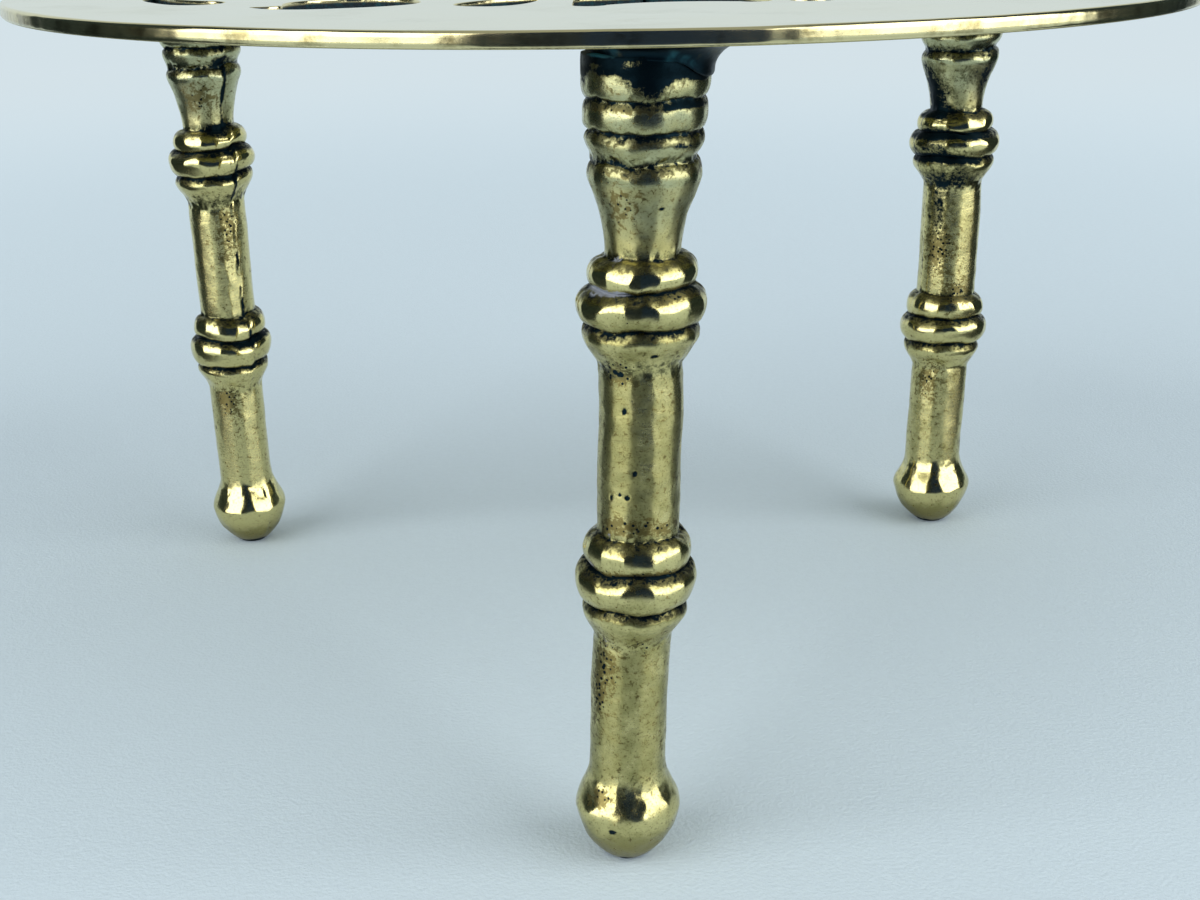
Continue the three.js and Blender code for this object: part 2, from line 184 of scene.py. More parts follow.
# Share of the relief that moves a point along the axis, and over what length the axis bends
RELIEF_ALONG, BOW_REACH = 0.5, 3
# Tilts between which a ledge comes to look up, the length over which it is blurred, and how dark
# pits and cracks are
LEDGE_TILT, LEDGE_REACH, PIT_SOOT, CRACK_SOOT = (0.5, 0.92), 0.3, 6, 3
# Heights between which the relief sets in over the foot's spot and ends under the plate, the
# collars' grooves end and the head's set in, the vase's matt sets in and ends, the head's rough
# casting sets in, and the painted shade round the foot's bottom ends and the painted shade under
# the plate sets in
SPOT_ENDS, SEAT_STARTS = (0.5, 5), (PLATE_UNDERSIDE - 2, PLATE_UNDERSIDE - 0.2)
COLLARS_END, HEAD_STARTS = (NECK_HEIGHT + 0.8, NECK_HEIGHT + 2), (HEAD_FROM - 1.5, HEAD_FROM - 0.5)
MATT_STARTS, MATT_ENDS = (NECK_HEIGHT, NECK_HEIGHT + 2), (HEAD_FROM - 3.4, HEAD_FROM - 2)
HEAD_ROUGH, FOOT_SHADE, HEAD_SHADE = (95, 103), (0.3, 1.3), (112.4, 114.2)

# Marks that time left on a leg; on the rear right leg one soot mark paints shade. Each is its
# side (degrees right of the side that faces the camera), its height, half its width, half its
# height, and its depth or strength.
MARK_KINDS = ("pit", "soot", "bloom", "residue", "pocks")
FRONT_MARKS = dict(
    pit=(
        (-23, 69.9, 0.28, 0.34, 0.45), (-7, 61.4, 0.27, 0.27, 0.45), (-42, 57.4, 0.16, 0.5, 0.35),
        (-28, 58.2, 0.24, 0.3, 0.3), (-17, 57.9, 0.34, 0.28, 0.4), (15, 77.6, 0.5, 0.24, 0.2),
        (-17, 7.2, 0.45, 0.3, 0.3), (21, 97.1, 0.34, 0.2, 0.2),
    ),
    soot=(
        (-34, 114, 4, 1, 0.3), (2, 112.6, 2.2, 1.6, 1.0), (45, 114.4, 4.2, 1.6, 0.9),
        (-75, 112.5, 1.5, 1.4, 0.6), (48, 109.4, 2.4, 0.5, 0.9), (30, 109.1, 1.6, 0.35, 0.8),
        (40, 104.6, 2.6, 0.35, 0.8),
    ),
    bloom=((-45, 115.7, 3, 0.7, 0.9), (-12, 46.4, 0.9, 0.5, 0.5), (39, 46.6, 0.8, 0.4, 0.5)),
    residue=(
        (-66, 85.9, 4, 0.9, 0.66), (-28, 86.2, 3.2, 0.7, 0.62), (-40, 89.9, 1.6, 0.9, 0.7),
        (-66, 80, 1.8, 0.7, 0.7), (-62, 47.5, 3, 0.9, 0.72), (-44, 52.2, 1.4, 0.6, 0.5),
        (-40, 36, 1.2, 1.4, 0.6),
    ),
    pocks=(
        (-20, 109.4, 4, 0.8, 0.5), (-32, 75.2, 2.2, 1.6, 1.0), (-42, 33, 2.4, 5, 0.6),
        (-38, 11.4, 1.6, 1.5, 1.0), (-34, 97, 3.4, 3.4, 0.5), (-35, 47, 4, 0.8, 0.8),
        (30, 47, 4, 0.8, 0.7), (-56, 27, 2, 6, 0.6), (14, 36, 3, 1.5, 0.4),
        (-30, 53.4, 4, 1.2, 0.9), (35, 53.4, 4, 1.2, 0.7), (40, 85.6, 3, 0.6, 0.8),
    ),
)
REAR_RIGHT_MARKS = dict(
    soot=(
        (-32, 84, 6, 6, 0.72), (30, 85.4, 4, 2, 0.4), (-10, 97, 7, 5, 0.22), (-62, 95, 3, 6, 0.7),
        # The mark at 20 degrees and 78 mm paints shade on the collar as a dark patch
        (58, 96, 2, 5, 0.5), (-25, 70, 3, 7, 0.6), (20, 78, 3, 3, 0.4), (-30, 93, 2.5, 3.5, 0.4),
        (35, 98, 3, 2, 0.4),
    ),
    bloom=((30, 115.4, 3, 0.7, 0.8),),
    residue=((-60, 86, 2, 0.8, 0.6),),
    pocks=((-20, 62, 4, 6, 0.8), (20, 52, 4, 3, 0.8), (-20, 33, 3, 4, 0.8)),
)
REAR_LEFT_MARKS = dict(
    soot=(
        (30, 84, 4, 6, 0.3), (40, 46, 4, 6, 0.3), (34, 97, 0.5, 3, 0.9), (30, 103.6, 1.6, 0.8, 0.9),
        (18, 90.4, 2.6, 0.8, 0.8),
    ),
    bloom=((-20, 115.4, 3, 0.7, 0.8),),
    residue=((34, 101, 0.8, 1.6, 0.6),),
    pocks=((-10, 96, 4, 3, 0.7), (20, 70, 3, 6, 0.7), (-20, 33, 3, 4, 0.8)),
)

# Each leg: its bearing on the plate, its girth as a share of the pattern's, how far its foot lies
# inward and sideways of its seat, the side that faces the camera (degrees from outward), how its
# axis bows to the right of that side (height, offset), its mould seam (degrees right of that side,
# lift and step of the half beyond it), how far its film is rubbed off, its marks, and where and
# how far its braze ran out.
LEGS = (
    dict(
        place="front", bearing=-90, girth=1, inward=2.3, sideways=-4, faces=-4.8,
        bow=(
            (0, 0.3), (12, 0), (25, -0.2), (45, 0.35), (70, 0.2), (83, -0.35), (95, -0.1),
            (106, -0.55), (117, -0.4),
        ),
        seam=96, lift=0.15, step=0.08, rubbed=0, marks=FRONT_MARKS, run_side=100, run=2.1,
    ),
    dict(
        place="rear_right", bearing=30, girth=1.07, inward=3.4, sideways=-0.2, faces=-135.4,
        bow=((0, 0.3), (15, -0.2), (45, 0), (70, -0.1), (85, -0.5), (101, -0.45), (117, -0.2)),
        seam=-58, lift=0.25, step=0.12, rubbed=0.5, marks=REAR_RIGHT_MARKS, run_side=200, run=0.8,
    ),
    dict(
        place="rear_left", bearing=150.3, girth=1, inward=1.2, sideways=-2.3, faces=128.9,
        bow=((0, -0.3), (30, -0.6), (60, -0.6), (90, -0.45), (117, -0.2)),
        seam=34, lift=0.75, step=0.3, rubbed=0.85, marks=REAR_LEFT_MARKS, run_side=320, run=0.6,
    ),
)
# A braze's height and reach, how far it lies within the leg's side, its face within the plate, its
# seat higher, its back further in, and its foot lower
BRAZE_HEIGHT, BRAZE_REACH = 1.4, 1.55
BRAZE_INTO_LEG, BRAZE_INTO_PLATE, BRAZE_SEAT, BRAZE_BACK, BRAZE_FOOT = 0.15, 0.05, 0.15, 0.4, 0.1
BRAZE_SIDES, BRAZE_STEPS = 140, 16

# Camera of the photograph, fitted to the plate's rim, the legs and their feet
PHOTO_WIDTH = 1200
FOCAL_PIXELS = 1674.5
CAMERA_PLACE = (-20.1, -302.5, 135.72)
CAMERA_YAW, CAMERA_PITCH, CAMERA_ROLL = 3.495, 18.737, -0.845
CLIP_START, CLIP_END = 0.01, 50

# Stage round the front foot, whose place is in millimetres. The other lengths are in metres, and
# azimuths run in degrees from the front towards the right.
STAGE_CENTRE = (-4, -87)
FLOOR_RINGS, FLOOR_SIDES = (0.3, 1, 2, 4, 9), 96
FAR_START, FAR_END = 0.137, 1.187
FADE_START, FADE_END = 0.55, 1.2
ROOM_TINT = (0.93, 0.99, 1.02)
SKY_PALE_TO, SKY_DARK_FROM = 0.25, 0.75
PANEL_DISTANCE, PANEL_HEIGHT = 1.4, 1.9
PANELS = (("left_panel", -57.5, 55), ("right_panel", 60.5, 58))
FLAG_INNER, FLAG_FULL = 0.07, 0.2
# Distance and height of each corner down a flag's section
FLAG_SECTION = ((FLAG_INNER, 0.0003), (0.8, 0.0003), (0.8, 0.75), (0.42, 1.2))
FLAG_SIDES = 13
FLAGS = (
    ("front_flag", -8, 30, (0.001, 0.02, 0.08)),
    ("front_left_flag", -31, -8, (0.006, 0.018, 0.04)),
    ("left_flag", -131, -85, (0.012, 0.025, 0.03)),
    ("right_flag", 92, 133, (0.012, 0.025, 0.03)),
)


def smooth_step(value, low, high):
    """0 below `low`, 1 above `high`, and the cubic 3t^2 - 2t^3 between."""
    share = np.clip((value - low) / (high - low), 0, 1)
    return share * share * (3 - 2 * share)


def bell(value, reach):
    """Bell curve: exp(-(value / reach)^2)."""
    return np.exp(-((value / reach) ** 2))


def wrapped(angle):
    """The same turn, counted from minus half a turn to half a turn."""
    return np.angle(np.exp(1j * angle))


def turned(points, angle):
    """Points turned about the z axis: x and y by the rotation matrix, with z as it was."""
    turn = np.array([[math.cos(angle), math.sin(angle)], [-math.sin(angle), math.cos(angle)]])
    return np.concatenate([points[..., :2] @ turn, points[..., 2:]], -1)


def to_seat(points, leg):
    """Points round the z axis, moved out to the leg's seat and turned to its bearing."""
    return turned(points + (LEG_CIRCLE_RADIUS, 0, 0), math.radians(leg["bearing"]))


def polar(radius, degrees):
    """The point at that radius and turn from the x axis."""
    turn = np.radians(degrees)
    return np.stack([radius * np.cos(turn), radius * np.sin(turn)], -1)


def arc(centre, radius, start, end, spacing):
    """Points of a circle's arc: the centre plus polar coordinates at even turns."""
    count = max(3, int(math.ceil(abs(math.radians(end - start)) * radius / spacing)))
    return np.asarray(centre) + polar(radius, np.linspace(start, end, count, endpoint=False))


def bend(start, corner, end, spacing):
    """Quadratic Bezier: (1-t)^2 start + 2t(1-t) corner + t^2 end, without its last point."""
    start, corner, end = (np.asarray(point, float) for point in (start, corner, end))
    length = np.linalg.norm(corner - start) + np.linalg.norm(end - corner)
    share = np.linspace(0, 1, max(3, int(math.ceil(length / spacing))), endpoint=False)[:, None]
    return (1 - share) ** 2 * start + 2 * share * (1 - share) * corner + share**2 * end


def window_outline(half_width, lobe, lobe_drop, lobe_ends, waist, shoulder, depth, spacing):
    """Two small lobes, an arch between them, sides that draw in to a waist, and an ogee point."""
    arch = polar(lobe, lobe_ends) * (-1, 1) + (half_width, -lobe_drop)
    side, low = half_width + lobe, -lobe_drop
    (waist_x, waist_y), (shoulder_x, shoulder_y) = waist, shoulder
    flank = ((side + waist_x) / 2, (waist_y + low) / 2)
    return np.concatenate([
        arc((-half_width, low), lobe, 180, 360 + lobe_ends, spacing),
        bend(arch * (-1, 1), (0, -arch[1]), arch, spacing),
        arc((half_width, low), lobe, 180 - lobe_ends, 360, spacing),
        bend((side, low), flank, waist, spacing),
        bend(waist, (waist_x, shoulder_y), shoulder, spacing),
        bend(shoulder, (0, shoulder_y), (0, depth), spacing),
        bend((0, depth), (0, shoulder_y), (-shoulder_x, shoulder_y), spacing),
        bend((-shoulder_x, shoulder_y), (-waist_x, shoulder_y), (-waist_x, waist_y), spacing),
        bend((-waist_x, waist_y), (-flank[0], flank[1]), (-side, low), spacing),
    ])


def comma_outline(size, hand, tip, back, belly, spacing):
    """A round head, with a tail between two Bezier curves that leave the head's edge and meet."""
    (back_turn, back_pull), (belly_turn, belly_pull) = back, belly
    back_start, belly_end = polar(size, back_turn), polar(size, belly_turn)
    back_corner = back_start + polar(back_pull, back_turn - 90)
    belly_corner = belly_end - polar(belly_pull, belly_turn - 90)
    head_end = back_turn if back_turn < belly_turn else back_turn - 360
    outline = np.concatenate([
        bend(back_start, back_corner, tip, spacing),
        bend(tip, belly_corner, belly_end, spacing),
        arc((0, 0), size, belly_turn, head_end, spacing),
    ])
    return outline * (hand, 1)


def petal_outline(half_length, half_width, spacing):
    """Two Bezier curves that meet in a point at each end."""
    low, high = (0, -half_length), (0, half_length)
    return np.concatenate([
        bend(low, (2 * half_width, 0), high, spacing),
        bend(high, (-2 * half_width, 0), low, spacing),
    ])


def around(outline, angle, radius, copies=REPEATS):
    """Copies of an outline, moved out along -y by the radius and turned in even steps."""
    placed = outline - (0, radius)
    return [turned(placed, math.radians(angle) + TURN * k / copies) for k in range(copies)]


def anticlockwise(outline):
    """The outline in the order that has a positive area by the shoelace formula."""
    x, y = outline.T
    area = np.sum(x * np.roll(y, -1) - np.roll(x, -1) * y)
    return outline if area > 0 else outline[::-1]


def piercings(spacing):
    """Outlines of every piercing, as the plate's maker set them out with compass and template."""
    loops = around(window_outline(**WINDOW_SHAPE, spacing=spacing), **WINDOW)
    for angle, radius, *sizes in COMMAS:
        loops += around(comma_outline(*sizes, spacing), angle, radius)
    for angle, radius, size in DOTS:
        loops += around(arc((0, 0), size, 0, 360, spacing), angle, radius)
    loops.append(arc((0, 0), HUB_HOLE_RADIUS, 0, 360, spacing))
    loops += around(petal_outline(**PETAL_SHAPE, spacing=spacing), **PETAL, copies=PETALS)
    return [anticlockwise(loop) for loop in loops]


def outward_normals(loop):
    """Unit normals that point away from the inside of an anticlockwise loop, from the sum of the
    two edges that meet at each point."""
    edge = np.roll(loop, -1, 0) - loop
    edge /= np.linalg.norm(edge, axis=1, keepdims=True)
    along = edge + np.roll(edge, 1, 0)
    along /= np.maximum(np.linalg.norm(along, axis=1, keepdims=True), 1e-6)
    return np.stack([along[:, 1], -along[:, 0]], 1)


def waves(points, length, seed):
    """Smooth random relief of about unit size, over points of any dimension: the sum of cosine
    waves in random directions, with lengths near the one that is asked for."""
    draw = np.random.default_rng(seed)
    direction = draw.normal(size=(WAVE_COUNT, points.shape[-1]))
    direction /= np.linalg.norm(direction, axis=1, keepdims=True)
    pulse = TURN / (length * draw.uniform(*WAVE_SPREAD, WAVE_COUNT))
    phase = draw.uniform(0, TURN, WAVE_COUNT)
    total = np.zeros(points.shape[:-1])
    for heading, rate, start in zip(direction, pulse, phase):
        total += np.cos(rate * (points @ heading) + start)
    return total / math.sqrt(WAVE_COUNT / 2)


def ripple(points, layers, seed):
    """Sum of layers of waves, each times its height. Their seeds count up from the first."""
    return sum(height * waves(points, length, seed + i) for i, (length, height) in enumerate(layers))


def inside(points, loops):
    """Whether each point lies between the loops: a ray from it crosses an odd number of edges."""
    odd = np.zeros(len(points), bool)
    for loop in loops:
        following = np.roll(loop, -1, 0)
        crosses = (loop[:, 1] > points[:, 1:]) != (following[:, 1] > points[:, 1:])
        rise = np.where(following[:, 1] == loop[:, 1], 1, following[:, 1] - loop[:, 1])
        at = loop[:, 0] + (points[:, 1:] - loop[:, 1]) * (following[:, 0] - loop[:, 0]) / rise
        odd ^= np.sum(crosses & (points[:, :1] < at), 1) % 2 == 1
    return odd


def nearest(points, loops):
    """Distance from each point to the nearest corner of the loops, a part of them at a time."""
    corners = np.concatenate(loops)
    found = np.full(len(points), np.inf)
    for part in np.array_split(corners, max(1, len(corners) // CORNERS_AT_ONCE)):
        found = np.minimum(found, np.linalg.norm(points[:, None] - part[None], axis=2).min(1))
    return found


class Shape:
    """Vertices, faces and vertex values of one piece, gathered from several patches."""

    def __init__(self):
        self.points, self.faces, self.values, self.count = [], [], {}, 0

    def add_points(self, points, **values):
        """Adds a grid of points and returns the first one's number. The values spread over the
        grid, and a value that a patch doesn't give is 0 there."""
        start = self.count
        self.points.append(points.reshape(-1, 3))
        self.count += len(self.points[-1])
        for name, value in values.items():
            spread = np.broadcast_to(value, points.shape[:-1]).ravel()
            self.values.setdefault(name, []).append((start, spread))
        return start

    def add_faces(self, *corners):
        """Adds faces, given each corner's vertex numbers."""
        self.faces.append(np.stack([np.ravel(corner) for corner in corners], 1))

    def add_band(self, start, rows, columns, outwards, closed=False):
        """Quads between rows of a grid whose columns, and if closed its rows, make a ring."""
        row, column = np.meshgrid(np.arange(rows - (not closed)), np.arange(columns), indexing="ij")
        here, above = start + row * columns, start + (row + 1) % rows * columns
        after = (column + 1) % columns
        corners = (here + column, here + after, above + after, above + column)
        self.add_faces(*(corners[::-1] if outwards else corners))

    def build(self, name, material):
        """The mesh object, in metres, with its values as point attributes."""
        mesh = bpy.data.meshes.new(name)
        points = np.concatenate(self.points) * MM
        mesh.vertices.add(len(points))
        mesh.vertices.foreach_set("co", points.astype(np.float32).ravel())
        corners = np.concatenate([face.ravel() for face in self.faces])
        sizes = np.concatenate([np.full(len(face), face.shape[1]) for face in self.faces])
        mesh.loops.add(len(corners))
        mesh.loops.foreach_set("vertex_index", corners.astype(np.int32))
        mesh.polygons.add(len(sizes))
        mesh.polygons.foreach_set("loop_start", (np.cumsum(sizes) - sizes).astype(np.int32))
        mesh.update(calc_edges=True)
        for label, patches in self.values.items():
            whole = np.zeros(len(points), np.float32)
            for start, value in patches:
                whole[start:start + len(value)] = value
            mesh.attributes.new(label, "FLOAT", "POINT").data.foreach_set("value", whole)
        mesh.materials.append(material)
        piece = bpy.data.objects.new(name, mesh)
        bpy.context.scene.collection.objects.link(piece)
        return piece


def quarter(start, end, leaves_level):
    """Quarter of an ellipse: one coordinate follows sin, the other 1 - cos, of an even turn."""
    turn = np.linspace(0, QUARTER_TURN, QUARTER_STEPS + 1)[1:]
    early, late = np.sin(turn), 1 - np.cos(turn)
    share = np.stack([early, late] if leaves_level else [late, early], 1)
    return start + np.subtract(end, start) * share


def swell(start, end, ease):
    """Cubic Bezier that is upright at both ends for a share of its height."""
    (leave, arrive), height = ease, end[1] - start[1]
    low, high = (start[0], start[1] + height * leave), (end[0], end[1] - height * arrive)
    t = np.linspace(0, 1, SWELL_STEPS + 1)[1:, None]
    shares = ((1 - t) ** 3, 3 * t * (1 - t) ** 2, 3 * t**2 * (1 - t), t**3)
    return sum(share * np.array(knot) for share, knot in zip(shares, (start, low, high, end)))


def bead_row(start, beads, groove_depth, end_radius):
    """Beads of two quarter ellipses each, out to the crest and back to the groove. The lowest
    rises to its crest by a Bezier curve instead."""
    parts = []
    for (height, radius, crest), following in zip(beads, (*beads[1:], None)):
        groove = min(radius, following[1]) - groove_depth if following else end_radius
        top, end = (radius, start[1] + height * crest), (groove, start[1] + height)
        parts.append(quarter(start, top, True) if parts else swell(start, top, BEAD_FLARE_EASE))
        parts.append(quarter(top, end, False))
        start = end
    return np.concatenate(parts)


def straight(start, length):
    """A plain shaft, with points close enough to carry relief."""
    share = np.linspace(0, 1, SHAFT_STEPS + 1)[1:, None]
    return np.asarray(start) + share * (0, length)


def leg_profile():
    """Radius and height along a leg, from the worn spot to the shoulder under the plate. Each
    stretch starts where the last one ends."""
    edge = np.array([FOOT_RADIUS, FOOT_DOME_HEIGHT])
    line = [bend((FOOT_SPOT_RADIUS, 0), edge * FOOT_DOME_CORNER, edge, DOME_STEP), edge[None]]
    for stretch, *sizes in (
        (swell, (LOWER_SHAFT_RADIUS, FOOT_DOME_HEIGHT + FOOT_FLARE_HEIGHT), FOOT_FLARE_EASE),
        (straight, LOWER_SHAFT_LENGTH),
        (bead_row, LOWER_COLLAR, COLLAR_GROOVE_DEPTH, UPPER_SHAFT_RADIUS),
        (straight, UPPER_SHAFT_LENGTH),
        (bead_row, UPPER_COLLAR, COLLAR_GROOVE_DEPTH, NECK_RADIUS),
        (swell, (VASE_RADIUS, NECK_HEIGHT + VASE_HEIGHT * VASE_CREST), VASE_EASE),
        (quarter, (VASE_RADIUS - HEAD_GROOVE_DEPTH, HEAD_FROM), False),
        (bead_row, HEAD_BEADS, HEAD_GROOVE_DEPTH, HEAD_BLOCK_RADIUS),
        (straight, PLATE_UNDERSIDE - HEAD_TOP),
    ):
        line.append(stretch(line[-1][-1], *sizes))
    return np.concatenate(line)


def soften(line, spacing, reach):
    """A line sampled evenly along its length and averaged with a bell curve of that reach."""
    step = np.linalg.norm(np.diff(line, axis=0), axis=1)
    distance = np.concatenate([[0], np.cumsum(step)])
    even = np.linspace(0, distance[-1], int(distance[-1] / spacing) + 1)
    line = np.stack([np.interp(even, distance, column) for column in line.T], 1)
    half = int(3 * reach / spacing)
    weight = np.exp(-0.5 * (np.arange(-half, half + 1) * spacing / reach) ** 2)
    weight /= weight.sum()
    padded = np.concatenate([2 * line[:1] - line[half:0:-1], line, 2 * line[-1:] - line[-2:-half - 2:-1]])
    return np.stack([np.convolve(column, weight, "valid") for column in padded.T], 1)


def blurred(value, height, reach):
    """A column of values, averaged over height with a bell curve of that reach."""
    weight = np.exp(-0.5 * ((height - height.T) / reach) ** 2)
    return weight @ value / weight.sum(1, keepdims=True)


def colour_setting(name, description, default):
    """A colour that a user can change."""
    return FloatVectorProperty(
        name=name, description=description, default=default, subtype="COLOR", size=3, min=0, max=1,
    )


def share_setting(name, description, default, low=0.0):
    """A share of 1 that a user can change."""
    return FloatProperty(
        name=name, description=description, default=default, subtype="FACTOR", min=low, max=1,
    )


def level_setting(name, description, default, high):
    """A strength of light that a user can change."""
    return FloatProperty(name=name, description=description, default=default, min=0, max=high)


def count_setting(name, description, default, low, high):
    """A number of points that a user can change."""
    return IntProperty(name=name, description=description, default=default, min=low, max=high)


def length_setting(name, description, default, low, high):
    """A length that a user can change, written here in millimetres and kept in metres."""
    return FloatProperty(
        name=name, description=description, default=default * MM, min=low * MM, max=high * MM,
        subtype="DISTANCE", unit="LENGTH", precision=5,
    )


class FinishSettings(PropertyGroup):
    brass: colour_setting("Brass", "Clean brass", (0.85, 0.74, 0.42))
    worn: colour_setting("Worn brass", "Brass of the legs where it is rubbed", (0.70, 0.62, 0.28))
    patina: colour_setting("Patina", "Pale grey-green brass of a leg's head", (0.52, 0.52, 0.30))
    tarnish: colour_setting("Tarnish", "Olive film on old brass", (0.38, 0.345, 0.135))
    stain: colour_setting("Stain", "Brown specks in the film", (0.15, 0.115, 0.035))
    crud: colour_setting("Crud", "Brown-olive dirt at the edge of the black", (0.115, 0.11, 0.05))
    # On the legs this colour also paints shade: a band just under the plate and a ring round the foot's
    # bottom
    soot: colour_setting("Soot", "Dark grime in grooves and pits", (0.006, 0.016, 0.022))
    verdigris: colour_setting("Verdigris", "Blue-green bloom under the plate", (0.004, 0.075, 0.095))
    residue: colour_setting("Polish residue", "Pale grey polish left in grooves", (0.27, 0.29, 0.33))
    plate_gloss: share_setting("Plate roughness", "Roughness of the polished top", 0.12, low=0.02)
    leg_gloss: share_setting("Leg roughness", "Roughness of clean metal on the legs", 0.14, low=0.02)


class StageSettings(PropertyGroup):
    paper: colour_setting("Paper", "Colour of the paper floor", (0.61, 0.715, 0.775))
    backdrop: colour_setting("Backdrop", "Colour of the far background", (0.66, 0.76, 0.81))
    ceiling: colour_setting("Ceiling", "Colour of the room overhead", (0.34, 0.38, 0.38))
    room_level: level_setting("Room level", "Strength of the room's light", 0.51, 5)
    panel_level: level_setting("Panel level", "Brightness of each soft panel", 2.65, 20)
    far_lift: share_setting("Far lift", "How much the far paper is lifted", 0.31)


class ShapeSettings(PropertyGroup):
    leg_sides: count_setting("Leg sides", "Points round a leg", 150, 24, 400)
    leg_step: length_setting("Leg step", "Spacing of rows along a leg", 0.28, 0.1, 2)
    outline_step: length_setting("Outline step", "Spacing of points on the piercings", 0.47, 0.2, 3)
    rim_sides: count_setting("Rim sides", "Points round the plate's rim", 720, 72, 2000)
    rim_rounding: length_setting("Rim rounding", "Rounding of the rim's edges", 0.65, 0.1, 1.1)
    edge_rounding: length_setting("Edge rounding", "Rounding of the piercings' edges", 0.2, 0.05, 0.8)


# Places of a Mix node's two colours and of the colour that it gives, whose names aren't unique
MIX_UNDER, MIX_OVER, MIX_RESULT = 6, 7, 2


class Recipe:
    """Node tree of a material or of the world. Each call adds a node and returns what it puts out.
    An input is another node's output, or else a plain value."""

    def __init__(self, owner, shader="Principled BSDF", coordinates="Object", scale=1 / MM):
        owner.use_nodes = True
        self.owner, self.tree = owner, owner.node_tree
        self.shader = self.tree.nodes[shader]
        place = self.add("TexCoord").outputs[coordinates]
        self.place = self.vector("SCALE", place, named={"Scale": scale})

    def add(self, kind, *inputs, named=None, **settings):
        """A node with its settings. Its inputs go in by place, and the named ones by name."""
        node = self.tree.nodes.new(f"ShaderNode{kind}")
        for key, value in settings.items():
            setattr(node, key, value)
        self.plug(node, dict(enumerate(inputs)))
        self.plug(node, named or {})
        return node

    def plug(self, node, inputs):
        """Links or sets each input. A colour of three numbers gets an alpha of 1."""
        for key, value in inputs.items():
            socket = node.inputs[key]
            if isinstance(value, bpy.types.NodeSocket):
                self.tree.links.new(value, socket)
            elif socket.type == "RGBA" and len(value) == 3:
                socket.default_value = (*value, 1)
            else:
                socket.default_value = value

    def vector(self, operation, *inputs, named=None, output=0):
        """What a vector operation gives."""
        return self.add("VectorMath", *inputs, named=named, operation=operation).outputs[output]

    def math(self, operation, result, *terms):
        """The operation on the first term and the second, then on that and the next."""
        for term in terms:
            result = self.add("Math", result, term, operation=operation).outputs[0]
        return result

    def times(self, *terms):
        """Product of the terms."""
        return self.math("MULTIPLY", *terms)

    def largest(self, *terms):
        """Largest of the terms."""
        return self.math("MAXIMUM", *terms)

    def less(self, value):
        """1 less the value."""
        return self.math("SUBTRACT", 1.0, value)

    def total(self, *terms):
        """Sum of value times weight, over pairs; a bare value has weight 1."""
        return self.math("ADD", *(self.times(*term) if isinstance(term, tuple) else term for term in terms))

    def noise(self, size, detail=3.0, rough=0.5, stretch=None, warp=0.0):
        """Noise from 0 to 1 whose features are about `size` millimetres."""
        place = self.vector("MULTIPLY", self.place, stretch) if stretch else self.place
        named = {"Vector": place, "Scale": 1 / size, "Detail": detail, "Roughness": rough}
        return self.add("TexNoise", named={**named, "Distortion": warp}).outputs[0]

    def cells(self, size):
        """Distance to the nearest of scattered points that are about `size` millimetres apart."""
        return self.add("TexVoronoi", named={"Vector": self.place, "Scale": 1 / size}).outputs["Distance"]

    def distance(self, centre):
        """Distance from a point, in millimetres."""
        return self.vector("DISTANCE", self.place, centre, output="Value")

    def height(self):
        """Height in millimetres, or how steeply the world's direction rises."""
        return self.add("SeparateXYZ", self.place).outputs["Z"]

    def values(self, *names):
        """Values that the piece's own shape gives."""
        return [self.add("Attribute", attribute_name=name).outputs["Fac"] for name in names]

    def seen(self):
        """1 for what the camera sees, straight or by a reflection, and 0 for scattered light."""
        rays = self.add("LightPath").outputs
        return self.largest(rays["Is Camera Ray"], rays["Is Glossy Ray"], rays["Is Transmission Ray"])

    def step(self, value, low, high, to_low=0.0, to_high=1.0):
        """A smooth step from `to_low` at `low` to `to_high` at `high`."""
        smooth = self.add("MapRange", value, low, high, to_low, to_high, interpolation_type="SMOOTHSTEP")
        return smooth.outputs[0]

    def coats(self, result, *coats):
        """A colour under coats of others, each laid on by its share."""
        for share, coat in coats:
            colours = {MIX_UNDER: result, MIX_OVER: coat}
            result = self.add("Mix", share, named=colours, data_type="RGBA").outputs[MIX_RESULT]
        return result

    def finish(self, colour, roughness, metallic, relief=None, strength=1.0, named=None):
        """Fills in the shader, with the relief's height in millimetres, and returns the material."""
        inputs = {"Base Color": colour, "Roughness": roughness, "Metallic": metallic, **(named or {})}
        if relief is not None:
            bump = self.add("Bump", named={"Strength": strength, "Distance": MM, "Height": relief})
            inputs["Normal"] = bump.outputs["Normal"]
        self.plug(self.shader, inputs)
        return self.owner


